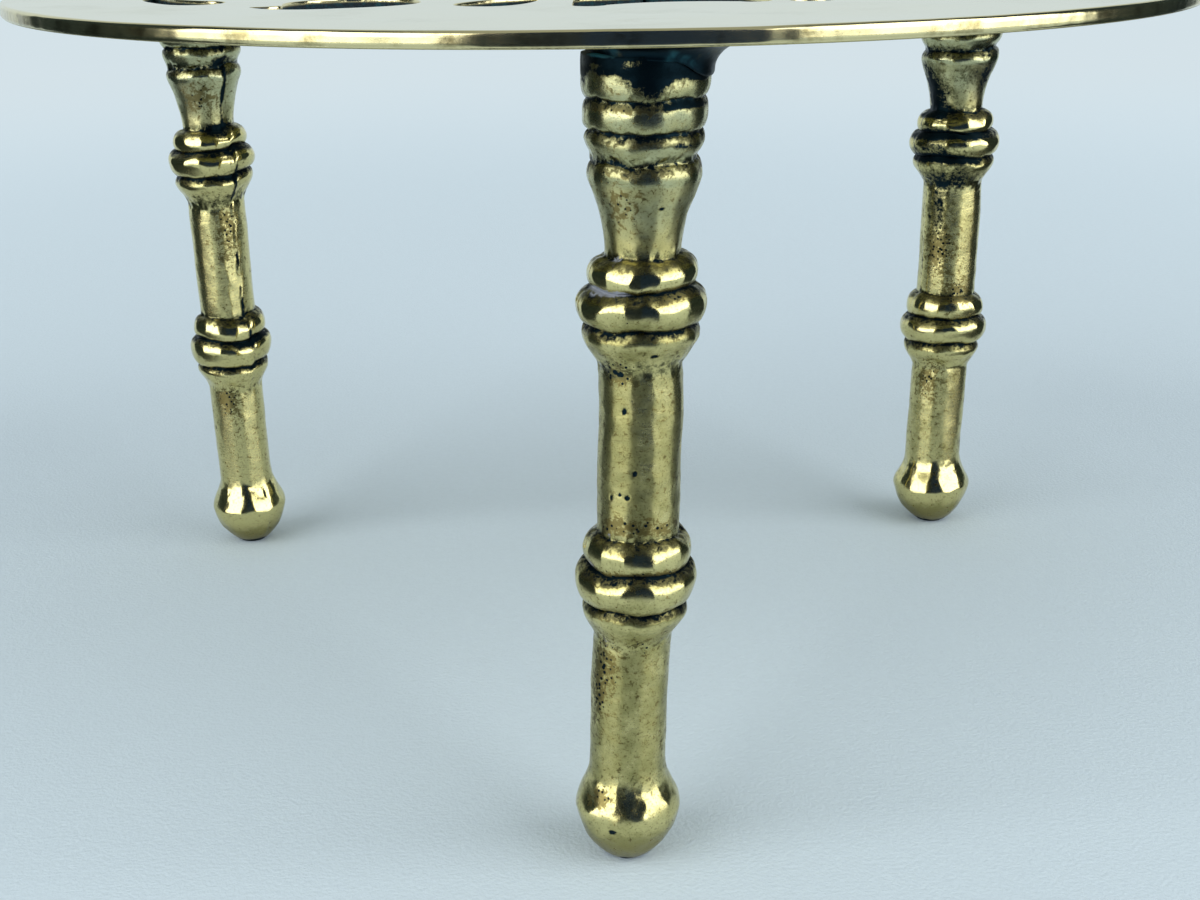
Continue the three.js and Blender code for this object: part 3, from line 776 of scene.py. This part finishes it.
def cast_brass(finish):
    """Hand-filed casting: rubbed crests, an olive film with brown specks, and grime in grooves and
    pits. The leg's shape gives where it is recessed, filed or polished, and the marks of time.
    It also paints shade: the foot darker towards its bottom, and dark bands just under the plate
    and round the foot's bottom."""
    make = Recipe(bpy.data.materials.new("cast_brass"))
    recess, crest, filed, ledge, settled = make.values("recess", "crest", "filed", "ledge", "settled")
    matt, rubbed, polish = make.values("matt", "rubbed", "polish")
    soot, bloom, residue, pocks = make.values("soot", "bloom", "residue", "pocks")
    blotch = make.noise(6, rough=0.6)
    mottle = make.noise(1.7, detail=4, rough=0.65)
    fleck = make.noise(0.75, detail=4, rough=0.7, warp=0.5)
    pepper = make.step(make.noise(0.32, detail=2, rough=0.6), 0.53, 0.72, 0.0, 0.66)
    grain = make.noise(0.2)
    files = make.noise(0.5, rough=0.65, stretch=(0.3, 0.3, 1.0), warp=0.3)
    height, clean = make.height(), make.less(polish)
    # Painted shade: the foot grows darker towards its bottom, where it stands on the floor, through the
    # film and the stain below
    low = make.step(height, 1.5, 8.0, 0.75, 0.0)
    foot = make.times(make.step(height, 12, 17, 0.06, 0.0), clean)

    # Through low, the film also lays painted shade on the foot's bottom
    film = make.total(
        (blotch, 0.8), (mottle, 0.7), (ledge, 0.55), (settled, 0.45), (filed, 0.12), (matt, 0.1),
        (crest, -0.25), (rubbed, -0.4), low,
    )
    film = make.times(make.step(film, 0.5, 1.0), clean, make.step(height, 88, 97, 1.0, 0.6))
    strokes = make.times(make.step(files, 0.55, 0.7), filed)
    specks = make.total(
        fleck, (mottle, 0.45), (pocks, 0.3), (settled, 0.14), (ledge, 0.12), (strokes, 0.12),
        (crest, -0.08),
    )
    specks = make.times(make.step(specks, 0.8, 0.91), clean)
    pit_size = make.total((pocks, 0.42), (make.step(blotch, 0.5, 0.72), 0.13))
    pits = make.math("LESS_THAN", make.cells(0.8), pit_size)
    # Besides real dirt, this carries the painted shade under the plate and round the foot's bottom, through
    # the soot
    dirt_and_shade = make.total(
        (fleck, 1.3), soot, (mottle, 0.8), (recess, 0.55), (settled, 0.42), (ledge, 0.4), (crest, -0.3),
    )
    crud = make.times(make.step(dirt_and_shade, 1.22, 1.5, 0.0, 0.8), clean)
    # The soot colour laid on here also paints the shade under the plate and round the foot's bottom
    grime = make.times(make.largest(make.step(dirt_and_shade, 1.5, 1.72), pits), clean)
    green = make.step(make.total(bloom, (mottle, 0.8), (recess, 0.12)), 0.85, 1.15)
    dust = make.step(make.total((fleck, 0.8), (residue, 0.75), (mottle, 0.45), (recess, 0.18)), 1.08, 1.28)
    pale = make.largest(green, dust)
    dull = make.largest(grime, pale)

    # Through low, the brown also lays painted shade on the foot's bottom
    brown = make.largest(
        make.times(specks, 0.85), make.times(strokes, 0.35), make.times(pepper, clean),
        make.times(low, 0.75),
    )
    colour = make.coats(
        finish.worn,
        (polish, finish.brass),
        (make.times(make.step(height, 88, 97), clean), finish.patina),
        (film, finish.tarnish),
        (brown, finish.stain),
        (crud, finish.crud),
        (grime, finish.soot),
        (dust, finish.residue),
        (green, finish.verdigris),
    )
    rough = make.total(
        (dull, 0.3), (matt, 0.15), (specks, 0.14), (filed, 0.13), (film, 0.08), (settled, 0.08),
        (ledge, 0.06), (grain, 0.04), foot, finish.leg_gloss - 0.06,
    )
    skin = make.total((mottle, 0.02), (fleck, 0.012), (grain, 0.002))
    skin = make.times(skin, make.less(make.total((crest, 0.5), (rubbed, 0.4))))
    relief = make.total(skin, (files, filed, 0.03), (dull, 0.01), (pits, -0.05))
    tangent = make.add("Tangent", direction_type="UV_MAP", uv_map="along").outputs[0]
    along = {"Anisotropic": 0.8, "Tangent": tangent}
    return make.finish(colour, rough, make.less(make.times(pale, 0.8)), relief, named=along)


def polished_brass(finish):
    """Plate: a bright polished top with fine wiping scratches, rough tarnished piercing walls and
    a dull cast underside. The plate's shape gives its walls, rim, underside and edges."""
    make = Recipe(bpy.data.materials.new("polished_brass"))
    wall, under, edge, rim = make.values("wall", "under", "edge", "rim")
    blotch = make.noise(14, detail=4, rough=0.55)
    cloud = make.noise(7, detail=4, rough=0.6)
    fleck = make.noise(1.1, detail=4, rough=0.65)
    scratch = make.noise(0.35, rough=0.7, stretch=(1.0, 0.08, 1.0))
    cross = make.noise(0.35, rough=0.7, stretch=(0.08, 1.0, 1.0))
    drag = make.noise(0.5, detail=4, rough=0.7, stretch=(1.0, 1.0, 0.25))

    cast = make.largest(wall, under)
    film = make.step(make.total(blotch, (fleck, 0.3)), 0.62, 1.0, 0.0, 0.35)
    film = make.largest(film, make.times(cast, 0.95), make.times(rim, 0.35))
    grime = make.total((drag, 1.1), (wall, 1.05), (fleck, 0.5), (under, 0.45), (edge, -0.05))
    grime = make.times(make.step(grime, 1.15, 1.5), cast)
    streaks = make.step(make.total(cloud, (fleck, 0.4)), 0.66, 0.9, 0.0, 0.7)
    bloom = make.step(make.total(fleck, (wall, 0.3)), 0.72, 0.95, 0.0, 0.5)
    colour = make.coats(
        finish.brass,
        (film, finish.tarnish),
        (make.times(streaks, rim), finish.stain),
        (grime, finish.soot),
        (make.times(bloom, wall), finish.verdigris),
    )
    rough = make.total(
        (grime, 0.35), (cast, 0.2), (film, 0.12), (scratch, 0.03), (cross, 0.03), finish.plate_gloss - 0.04,
    )
    fine = make.total((scratch, 0.0016), (cross, 0.0016), (fleck, 0.002))
    coarse = make.times(make.total((drag, 0.2), (fleck, 0.12)), cast)
    return make.finish(colour, rough, make.less(make.times(grime, 0.6)), make.total(fine, coarse))


def braze_metal(finish):
    """Smooth braze under black grime, with a little brown and verdigris."""
    make = Recipe(bpy.data.materials.new("braze"))
    blotch = make.noise(3, detail=4, rough=0.6)
    fleck = make.noise(0.6, detail=4, rough=0.6)
    green = make.step(make.noise(3.6), 0.55, 0.75, 0.0, 0.8)
    brown = make.step(blotch, 0.55, 0.8, 0.0, 0.5)
    colour = make.coats(finish.soot, (brown, finish.stain), (green, finish.verdigris))
    rough = make.total((fleck, 0.25), (green, 0.15), 0.22)
    relief = make.total((fleck, 0.02), (blotch, 0.05))
    return make.finish(colour, rough, make.less(make.times(green, 0.5)), relief)


def place_piece(piece, node):
    """Rides the piece on the trivet in place of its frame node."""
    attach(piece, "root")
    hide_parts(node)


def plate_undulation(flat):
    """Height of the hand-polished top over a true plane: waves a few hundredths high."""
    return ripple(flat, PLATE_WAVES, PLATE_SEED)


def edge_section(rounding, wall_rows):
    """Offset into the metal and depth under the top, down an edge: a support row, a quarter
    circle, the wall, and the same the other way up."""
    turn = np.linspace(0, QUARTER_TURN, EDGE_STEPS + 1)
    top = np.stack([rounding * (1 - np.sin(turn)), rounding * (1 - np.cos(turn))], 1)
    top = np.concatenate([[(rounding + EDGE_SUPPORT, 0)], top])
    depths = np.linspace(rounding, PLATE_THICKNESS - rounding, wall_rows + 2)[1:-1]
    wall = np.stack([np.zeros(wall_rows), depths], 1)
    return np.concatenate([top, wall, (0, PLATE_THICKNESS) + top[::-1] * (1, -1)])


def tenon_section():
    """Countersink of a tenon's hole: the head's radius at the top, the shank's in the lower half."""
    mouth = TENON_HEAD_RADIUS - TENON_RADIUS + TENON_SEAM
    return np.array([
        (mouth + TENON_MARGIN, 0),
        (mouth + 4 * TENON_EDGE, 0),
        (mouth + TENON_EDGE, 0),
        (mouth, TENON_EDGE),
        (TENON_SEAM, PLATE_THICKNESS / 2),
        (TENON_SEAM, PLATE_THICKNESS),
        (TENON_SEAM + TENON_MARGIN, PLATE_THICKNESS),
    ])


def edge_band(shape, loop, rows, roughness, seed, outer):
    """Sweeps a section along a loop: the loop moved along its normals by each row's offset, at
    each row's depth, with relief on the wall. Returns its first and last rows of vertices."""
    normals = outward_normals(loop) * (-1 if outer else 1)
    offset, depth = rows.T[..., None]
    flat = np.repeat(loop[None], len(rows), 0)
    from_under = depth - PLATE_THICKNESS
    wall = smooth_step(depth, *WALL_STARTS) * (1 - smooth_step(from_under, *WALL_ENDS))
    down = np.broadcast_to(depth[..., None] * WALL_STRETCH, (*flat.shape[:2], 1))
    sample = np.concatenate([flat, down], 2)
    relief = roughness * ripple(sample, WALL_WAVES, seed) * wall
    flat = flat + normals * (offset + relief)[..., None]
    height = PLATE_TOP - depth + plate_undulation(flat) * (1 - depth / PLATE_THICKNESS)
    start = shape.add_points(
        np.concatenate([flat, height[..., None]], 2),
        **{"rim" if outer else "wall": wall},
        under=smooth_step(from_under, *CAST_STARTS),
        edge=bell(depth - BRIGHT_EDGE, BRIGHT_REACH),
    )
    shape.add_band(start, len(rows), len(loop), outwards=outer)
    first = np.arange(start, start + len(loop))
    return first, first + (len(rows) - 1) * len(loop)


def fill_between(shape, rings, height, upwards):
    """Triangles of a flat face between its rings, with a loose grid of points inside it."""
    plan = np.concatenate(shape.points)[:, :2]
    outlines = [plan[ring] for ring in rings]
    side = np.arange(-PLATE_RADIUS, PLATE_RADIUS, GRID_STEP)
    grid = np.stack(np.meshgrid(side, side), -1).reshape(-1, 2)
    grid[:, 0] += (np.rint(grid[:, 1] / GRID_STEP) % 2) * GRID_STEP / 2
    grid = grid[inside(grid, outlines)]
    grid = grid[nearest(grid, outlines) > GRID_MARGIN]
    lift = plate_undulation(grid) if upwards else np.zeros(len(grid))
    start = shape.add_points(np.column_stack([grid, height + lift]), under=not upwards)
    edges, first = [], 0
    for outline in outlines:
        index = np.arange(len(outline))
        edges.append(np.stack([index, np.roll(index, -1)], 1) + first)
        first += len(outline)
    flat = np.concatenate([*outlines, grid])
    labels = np.concatenate([*rings, np.arange(start, start + len(grid))])
    edges = np.concatenate(edges).tolist()
    found = delaunay_2d_cdt([Vector(point) for point in flat], edges, [], 0, SAME_POINT, True)
    corners, faces, sources = found[0], np.array(found[2]), found[3]
    if len(corners) != len(flat) or any(len(source) != 1 for source in sources):
        raise RuntimeError("Two piercings of the plate touch, so its face can't be filled")
    faces = np.array([source[0] for source in sources])[faces]
    faces = labels[faces[inside(flat[faces].mean(1), outlines)]]
    shape.add_faces(*(faces.T if upwards else faces.T[::-1]))


class TRIVET_OT_add_plate(Operator):
    """Pierced plate with a soft rim, rough piercing walls and a polished top"""

    bl_idname = "trivet.add_plate"
    bl_label = "Add plate"

    def execute(self, context):
        size = context.scene.trivet_shape
        spacing = size.outline_step / MM
        shape = Shape()
        rim = polar(PLATE_RADIUS, np.linspace(0, 360, size.rim_sides, endpoint=False))
        rows = edge_section(size.rim_rounding / MM, RIM_ROWS)
        rings = [edge_band(shape, rim, rows, RIM_ROUGHNESS, RIM_SEED, outer=True)]
        rows = edge_section(size.edge_rounding / MM, HOLE_ROWS)
        for number, loop in enumerate(piercings(spacing)):
            rings.append(edge_band(shape, loop, rows, WALL_ROUGHNESS, HOLE_SEED + number, outer=False))
        for leg in LEGS:
            hole = arc(polar(LEG_CIRCLE_RADIUS, leg["bearing"]), TENON_RADIUS, 0, 360, spacing / 2)
            rings.append(edge_band(shape, hole, tenon_section(), 0, TENON_SEED, outer=False))
        upper, lower = zip(*rings)
        fill_between(shape, upper, PLATE_TOP, upwards=True)
        fill_between(shape, lower, PLATE_UNDERSIDE, upwards=False)
        piece = shape.build("plate", polished_brass(context.scene.trivet_finish))
        place_piece(piece, "top_plate")
        return {"FINISHED"}


def leg_relief(ring, recess, filed, seed):
    """Hand-filed unevenness of a leg in millimetres: long waves, and dents that are deep in the
    grooves and round the head and shallow on the filed shafts."""
    head = smooth_step(ring[..., 2], *HEAD_ROUGH)
    dents = ripple(ring, LEG_DENTS, seed + 1) * (1 + HEAD_DENTS * head - FILED_DENTS * filed)
    ragged = ripple(ring, GROOVE_WAVES, seed + 3) * recess * (1 + HEAD_RAGGED * head)
    return ripple(ring, LEG_WAVES, seed) + dents + ragged


def settled_dirt(height):
    """Dirt that settled under each groove, on the top of the bead below it: bell curves a little
    lower than the heights at which two beads meet, or the vase and the first bead."""
    total = 0
    rows = ((LOWER_COLLAR_FROM, LOWER_COLLAR), (UPPER_COLLAR_FROM, UPPER_COLLAR), (HEAD_FROM, HEAD_BEADS))
    for start, beads in rows:
        tops = start + np.cumsum([bead[0] for bead in beads])
        for top in tops if start != HEAD_FROM else (start, *tops):
            total = total + bell(height - top + SETTLED_DROP, SETTLED_REACH)
    return total


def smudges(leg, angle, height, girth):
    """Strength of each kind of mark: the sum of bell-shaped spots, exp(-(u^2 + v^2)), where u and
    v are the distances round and along the leg in units of the mark's size."""
    found = {kind: np.zeros(np.broadcast_shapes(angle.shape, height.shape)) for kind in MARK_KINDS}
    for kind, marks in leg["marks"].items():
        for side, level, wide, tall, depth in marks:
            away = girth * wrapped(angle - math.radians(leg["faces"] + side))
            found[kind] += depth * bell(away, wide) * bell(height - level, tall)
    return found


def leg_surface(leg, number, size):
    """The leg's profile swept round its axis. Its rows wander up and down and its beads are out of
    round by cosines of one, two and three turns; one half is lifted and stepped at the mould
    seam; the axis leans and bows. Returns the points and their values."""
    line = soften(leg_profile(), PROFILE_STEP, PROFILE_ROUNDING)
    broad = soften(line, PROFILE_STEP, HOLLOW_REACH)
    count = min(len(line), len(broad))
    wanted = int(count * PROFILE_STEP / (size.leg_step / MM))
    rows = np.unique(np.rint(np.linspace(0, count - 1, wanted)).astype(int))
    radius, height = line[rows].T[..., None]
    hollow = broad[rows, :1] - radius
    slope = np.gradient(line[:count], axis=0)[rows]
    slope /= np.linalg.norm(slope, axis=1, keepdims=True)
    across, rise = slope.T[..., None]
    angle = np.linspace(0, TURN, size.leg_sides, endpoint=False)
    seed = LEG_SEED + 10 * number

    phase = np.random.default_rng(seed).uniform(0, TURN, (2, 3))
    drift = height / WANDER_LENGTH
    warp = ROW_WANDER * sum(np.cos(m * angle + p + drift) / m for m, p in enumerate(phase[0], 1))
    unround = OUT_OF_ROUND * sum(np.cos(m * angle + p - drift) / m for m, p in enumerate(phase[1], 1))

    body = radius * leg["girth"]
    girth = body.mean()
    ring = np.stack(np.broadcast_arrays(girth * np.cos(angle), girth * np.sin(angle), height), -1)
    from_seam = angle - math.radians(leg["faces"] + leg["seam"])
    beyond = 0.5 * np.tanh(body * np.sin(from_seam) / SEAM_STEP_WIDTH)
    gap = body * wrapped(from_seam)
    seam_left = SEAM_LEFT + (1 - SEAM_LEFT) * smooth_step(height, SEAM_FILED_TO, SEAM_WHOLE_FROM)
    ridge = RIDGE_HEIGHT + RIDGE_VARIES * waves(height[..., None], RIDGE_LENGTH, seed + 5)
    ridge = ridge * bell(gap, SEAM_RIDGE_WIDTH)
    cracks = smooth_step(waves(ring, CRACK_LENGTH, seed + 13), *CRACK_OPENS) * bell(gap, SEAM_CRACK_WIDTH)

    ends = smooth_step(height, *SPOT_ENDS) * (1 - smooth_step(height, *SEAT_STARTS))
    beads = 1 - smooth_step(height, *COLLARS_END) + smooth_step(height, *HEAD_STARTS)
    recess = np.clip(hollow / FULL_GROOVE, 0, 1) * beads
    filed = bell(hollow, FILED_WITHIN) * smooth_step(height, FILED_FROM, FILED_FROM + 2)
    marks = smudges(leg, angle, height, girth)
    pits = marks.pop("pit")
    mould = leg["step"] * seam_left * (ridge + beyond)
    relief = leg_relief(ring, recess, filed, seed + 3) + unround + mould
    relief = relief * ends - PIT_DEPTH * np.minimum(pits, PIT_LIMIT)
    warp += ripple(ring, ROW_WAVES, seed + 9)

    out = body + relief * rise
    up = height + (warp + leg["lift"] * beyond) * ends - relief * across * RELIEF_ALONG
    bow = blurred(np.interp(height, *zip(*leg["bow"])), height, BOW_REACH)
    drop = 1 - height / PLATE_UNDERSIDE
    right = math.radians(leg["faces"] + 90)
    x = out * np.cos(angle) - leg["inward"] * drop + bow * math.cos(right)
    y = out * np.sin(angle) + leg["sideways"] * drop + bow * math.sin(right)

    tilt = -across * np.sign(rise + 1e-9)
    # Painted shade, laid on as soot: a ragged dark band just under the plate, and a ring round the foot's
    # bottom where it stands
    dirt_and_shade = smooth_step(height + ripple(ring, HEAD_SHADE_WAVES, seed + 11), *HEAD_SHADE)
    dirt_and_shade += 1 - smooth_step(height + ripple(ring, FOOT_SHADE_WAVES, seed + 12), *FOOT_SHADE)
    matt = smooth_step(height, *MATT_STARTS) * (1 - smooth_step(height, *MATT_ENDS))
    marks["soot"] += dirt_and_shade + PIT_SOOT * pits + CRACK_SOOT * leg["step"] * cracks * seam_left * ends
    return np.stack([x, y, up], -1), dict(
        marks, recess=recess, filed=filed, matt=matt, rubbed=leg["rubbed"],
        crest=np.clip(-hollow / FULL_CREST, 0, 1),
        ledge=blurred(smooth_step(tilt, *LEDGE_TILT) * (height > FOOT_DOME_HEIGHT), height, LEDGE_REACH),
        settled=settled_dirt(height),
    )


def leg_piece(leg, number, size, material):
    """Closed leg: the swept body, a tenon up through the plate, and a flat spot under the foot."""
    points, values = leg_surface(leg, number, size)
    rows, columns = points.shape[:2]
    shape = Shape()
    start = shape.add_points(points, **values)
    tenon = (
        (TENON_RADIUS, PLATE_UNDERSIDE, 0),
        (TENON_RADIUS, PLATE_UNDERSIDE + PLATE_THICKNESS / 2, 0),
        (TENON_HEAD_RADIUS, PLATE_TOP - TENON_EDGE, 1),
        (TENON_HEAD_RADIUS - TENON_EDGE, PLATE_TOP, 1),
        (TENON_HEAD_RADIUS - 4 * TENON_EDGE, PLATE_TOP, 1),
        (TENON_HEAD_RADIUS - TENON_MARGIN, PLATE_TOP, 1),
    )
    for radius, height, bright in tenon:
        ring = polar(radius, np.linspace(0, 360, columns, endpoint=False))
        shape.add_points(np.column_stack([ring, np.full(columns, height)]), polish=bright, soot=1 - bright)
    total = rows + len(tenon)
    shape.add_band(start, total, columns, outwards=False)
    foot = shape.add_points(points[:1].mean(1))
    head = shape.add_points(np.array([[0, 0, PLATE_TOP]]), polish=1)
    index = np.arange(columns)
    after = np.roll(index, -1)
    top = (total - 1) * columns
    shape.add_faces(np.full(columns, foot), after, index)
    shape.add_faces(np.full(columns, head), top + index, top + after)

    whole = to_seat(np.concatenate(shape.points), leg)
    flush = whole[:, 2] > PLATE_TOP - 2 * TENON_EDGE
    whole[flush, 2] += plate_undulation(whole[flush, :2])
    shape.points = [whole]
    piece = shape.build(f"{leg['place']}_leg", material)
    add_leg_uv(piece.data, total, columns)
    return piece


def add_leg_uv(mesh, rows, columns):
    """UV map with u along the leg and v round it, for the direction of the file marks. The last
    quad of each row ends at v = 1 instead of going back to 0."""
    corner = np.zeros(len(mesh.loops), np.int32)
    mesh.loops.foreach_get("vertex_index", corner)
    along = np.minimum(corner // columns, rows) / rows
    round_share = (corner % columns) / columns
    quads = corner[:4 * (rows - 1) * columns].reshape(-1, 4) % columns
    last = quads[:, :1] == columns - 1
    round_share[:quads.size][(last & (quads == 0)).ravel()] = 1.0
    uv = mesh.uv_layers.new(name="along")
    uv.data.foreach_set("uv", np.stack([along, round_share], 1).astype(np.float32).ravel())


class TRIVET_OT_add_legs(Operator):
    """Three turned and filed cast legs, each with a tenon through the plate"""

    bl_idname = "trivet.add_legs"
    bl_label = "Add legs"

    def execute(self, context):
        size = context.scene.trivet_shape
        material = cast_brass(context.scene.trivet_finish)
        for number, leg in enumerate(LEGS):
            place_piece(leg_piece(leg, number, size, material), f"leg_{leg['place']}")
        return {"FINISHED"}


def braze_piece(leg, number, material):
    """Ring with a hollow quarter-ellipse face. Its height and reach grow towards the side that it
    ran to by the square of (1 + cosine) / 2, and vary by small waves."""
    angle = np.linspace(0, TURN, BRAZE_SIDES, endpoint=False)
    inner = HEAD_BLOCK_RADIUS * leg["girth"] - BRAZE_INTO_LEG
    towards = 0.5 + 0.5 * np.cos(angle - math.radians(leg["run_side"]))
    ragged = 1 + ripple(polar(inner, np.degrees(angle)), BRAZE_WAVES, BRAZE_SEED + number)
    spread = (1 + leg["run"] * towards**2) * ragged
    turn = np.linspace(0, QUARTER_TURN, BRAZE_STEPS)[:, None]
    face = inner + BRAZE_REACH * spread * (1 - np.cos(turn))
    face_height = PLATE_UNDERSIDE + BRAZE_INTO_PLATE - BRAZE_HEIGHT * spread * (1 - np.sin(turn))
    seat = np.full((1, BRAZE_SIDES), PLATE_UNDERSIDE + BRAZE_SEAT)
    back = np.full((1, BRAZE_SIDES), inner - BRAZE_BACK)
    radius = np.concatenate([face, face[-1:], back, back])
    height = np.concatenate([face_height, seat, seat, face_height[:1] - BRAZE_FOOT])
    points = np.stack([radius * np.cos(angle), radius * np.sin(angle), height], -1)
    shape = Shape()
    start = shape.add_points(to_seat(points, leg))
    shape.add_band(start, len(points), BRAZE_SIDES, outwards=False, closed=True)
    return shape.build(f"{leg['place']}_braze", material)


class TRIVET_OT_add_brazes(Operator):
    """Fillet of braze in the corner between each leg and the plate"""

    bl_idname = "trivet.add_brazes"
    bl_label = "Add brazes"

    def execute(self, context):
        material = braze_metal(context.scene.trivet_finish)
        for number, leg in enumerate(LEGS):
            place_piece(braze_piece(leg, number, material), f"braze_{leg['place']}")
        return {"FINISHED"}


def from_stage(azimuth, distance):
    """Point on the floor at a distance from the stage's centre, in degrees from the front towards
    the right: the centre plus distance times (sin, -cos)."""
    turn = np.radians(azimuth)
    return np.asarray(STAGE_CENTRE) * MM + np.stack([np.sin(turn), -np.cos(turn)], -1) * distance


def paper(stage):
    """Pale paper with a faint grain. Away from the trivet, what the eye sees of it is lifted and
    then fades to the backdrop's colour, and the shadows near the trivet stay."""
    make = Recipe(bpy.data.materials.new("paper"))
    seen, away = make.seen(), make.distance((*STAGE_CENTRE, 0))
    far = make.times(make.step(away, FAR_START / MM, FAR_END / MM), seen)
    faded = make.times(make.step(away, FADE_START / MM, FADE_END / MM), seen)
    kept = make.less(faded)
    grain = make.step(make.noise(1.6, detail=4, rough=0.7), 0.3, 0.7, 0.975, 1.0)
    colour = make.vector("SCALE", stage.paper, named={"Scale": make.times(grain, kept)})
    glow = make.total((far, stage.far_lift, kept), faded)
    named = {"Emission Color": stage.backdrop, "Emission Strength": glow, "Specular IOR Level": 0.0}
    return make.finish(colour, 0.9, 0.0, make.noise(0.7, detail=4), 0.2, named)


def room(stage):
    """World: pale at the horizon and darker overhead where it is seen, and an even room light for
    everything that it falls on."""
    make = Recipe(bpy.data.worlds.new("room"), "Background", "Generated", 1)
    overhead = make.step(make.height(), SKY_PALE_TO, SKY_DARK_FROM)
    sky = make.coats(stage.backdrop, (overhead, stage.ceiling))
    light = [tint * stage.room_level for tint in ROOM_TINT]
    make.plug(make.shader, {"Color": make.coats(light, (make.seen(), sky))})
    return make.owner


def flag(name, start, end, colour):
    """Dark sheet between two azimuths, which only reflections see: it lies on the floor from a soft
    inner edge outwards, then stands up, and leans in at the top."""
    azimuths = np.linspace(start, end, FLAG_SIDES)
    rows = []
    for out, up in FLAG_SECTION:
        rows.append(np.column_stack([from_stage(azimuths, out), np.full(FLAG_SIDES, up)]) / MM)
    shape = Shape()
    corner = shape.add_points(np.stack(rows)) + np.arange(len(rows) * FLAG_SIDES).reshape(len(rows), -1)
    shape.add_faces(corner[:-1, :-1], corner[:-1, 1:], corner[1:, 1:], corner[1:, :-1])
    make = Recipe(bpy.data.materials.new(name))
    cover = make.step(make.distance((*STAGE_CENTRE, 0)), FLAG_INNER / MM, FLAG_FULL / MM)
    piece = shape.build(name, make.finish(colour, 1.0, 0.0, named={"Alpha": cover}))
    piece.visible_camera = False
    piece.visible_diffuse = False
    piece.visible_shadow = False


def panel(name, azimuth, spread, level):
    """Upright soft panel: an area lamp that faces the trivet. Its power gives it that radiance."""
    lamp = bpy.data.lights.new(name, "AREA")
    lamp.shape = "RECTANGLE"
    lamp.size, lamp.size_y = 2 * PANEL_DISTANCE * math.tan(math.radians(spread / 2)), PANEL_HEIGHT
    lamp.energy = level * math.pi * lamp.size * lamp.size_y
    piece = bpy.data.objects.new(name, lamp)
    outward = from_stage(azimuth, 1) - from_stage(azimuth, 0)
    piece.location = (*from_stage(azimuth, PANEL_DISTANCE), PANEL_HEIGHT / 2)
    piece.rotation_euler = Vector((*outward, 0)).to_track_quat("Z", "Y").to_euler()
    piece.visible_camera = False
    bpy.context.scene.collection.objects.link(piece)


def photo_camera():
    """Camera turned by its yaw, pitch and roll: columns of the turn are right, up and backward."""
    yaw, pitch, roll = (math.radians(a) for a in (CAMERA_YAW, CAMERA_PITCH, CAMERA_ROLL))
    right = Vector((math.cos(yaw), -math.sin(yaw), 0))
    ahead = Vector((math.sin(yaw) * math.cos(pitch), math.cos(yaw) * math.cos(pitch), -math.sin(pitch)))
    up = right.cross(ahead)
    rolled = right * math.cos(roll) + up * math.sin(roll)
    upward = up * math.cos(roll) - right * math.sin(roll)
    lens = bpy.data.cameras.new("photo_camera")
    lens.sensor_fit = "HORIZONTAL"
    lens.lens = FOCAL_PIXELS / PHOTO_WIDTH * lens.sensor_width
    lens.clip_start, lens.clip_end = CLIP_START, CLIP_END
    camera = bpy.data.objects.new("photo_camera", lens)
    turn = Matrix((rolled, upward, -ahead)).transposed().to_4x4()
    camera.matrix_world = Matrix.Translation(Vector(CAMERA_PLACE) * MM) @ turn
    bpy.context.scene.collection.objects.link(camera)
    bpy.context.scene.camera = camera


class TRIVET_OT_add_stage(Operator):
    """Pale paper floor, light room, soft panels, dark cards and the photograph's camera"""

    bl_idname = "trivet.add_stage"
    bl_label = "Add stage"

    def execute(self, context):
        stage = context.scene.trivet_stage
        floor = Shape()
        angle = np.linspace(0, 360, FLOOR_SIDES, endpoint=False)
        rings = np.stack([polar(radius / MM, angle) for radius in FLOOR_RINGS])
        start = floor.add_points(np.pad(rings, ((0, 0), (0, 0), (0, 1))))
        floor.add_band(start, len(rings), FLOOR_SIDES, outwards=True)
        floor.add_faces(*range(start, start + FLOOR_SIDES))
        floor.build("floor", paper(stage))
        context.scene.world = room(stage)
        for name, azimuth, spread in PANELS:
            panel(name, azimuth, spread, stage.panel_level)
        for name, start, end, colour in FLAGS:
            flag(name, start, end, colour)
        photo_camera()
        context.scene.view_settings.view_transform = "Standard"
        return {"FINISHED"}


class TRIVET_PT_sidebar(Panel):
    """Pieces of the trivet and their settings"""

    bl_idname = "TRIVET_PT_sidebar"
    bl_label = "Pierced trivet"
    bl_space_type = "VIEW_3D"
    bl_region_type = "UI"
    bl_category = "Trivet"

    def draw(self, context):
        for operator in OPERATORS:
            self.layout.operator(operator.bl_idname)
        for name in SETTINGS:
            group = getattr(context.scene, name)
            box = self.layout.box()
            for key in group.__annotations__:
                box.prop(group, key)


OPERATORS = (TRIVET_OT_add_stage, TRIVET_OT_add_plate, TRIVET_OT_add_legs, TRIVET_OT_add_brazes)
SETTINGS = {"trivet_finish": FinishSettings, "trivet_stage": StageSettings, "trivet_shape": ShapeSettings}


def register():
    for group in SETTINGS.values():
        bpy.utils.register_class(group)
    for name, group in SETTINGS.items():
        setattr(bpy.types.Scene, name, PointerProperty(type=group))
    for entry in (*OPERATORS, TRIVET_PT_sidebar):
        bpy.utils.register_class(entry)


def unregister():
    for entry in (TRIVET_PT_sidebar, *OPERATORS):
        bpy.utils.unregister_class(entry)
    for name, group in SETTINGS.items():
        delattr(bpy.types.Scene, name)
        bpy.utils.unregister_class(group)


def main():
    register()
    bpy.ops.trivet.add_stage()
    bpy.ops.trivet.add_plate()
    bpy.ops.trivet.add_legs()
    bpy.ops.trivet.add_brazes()


if __name__ == "__main__":
    main()
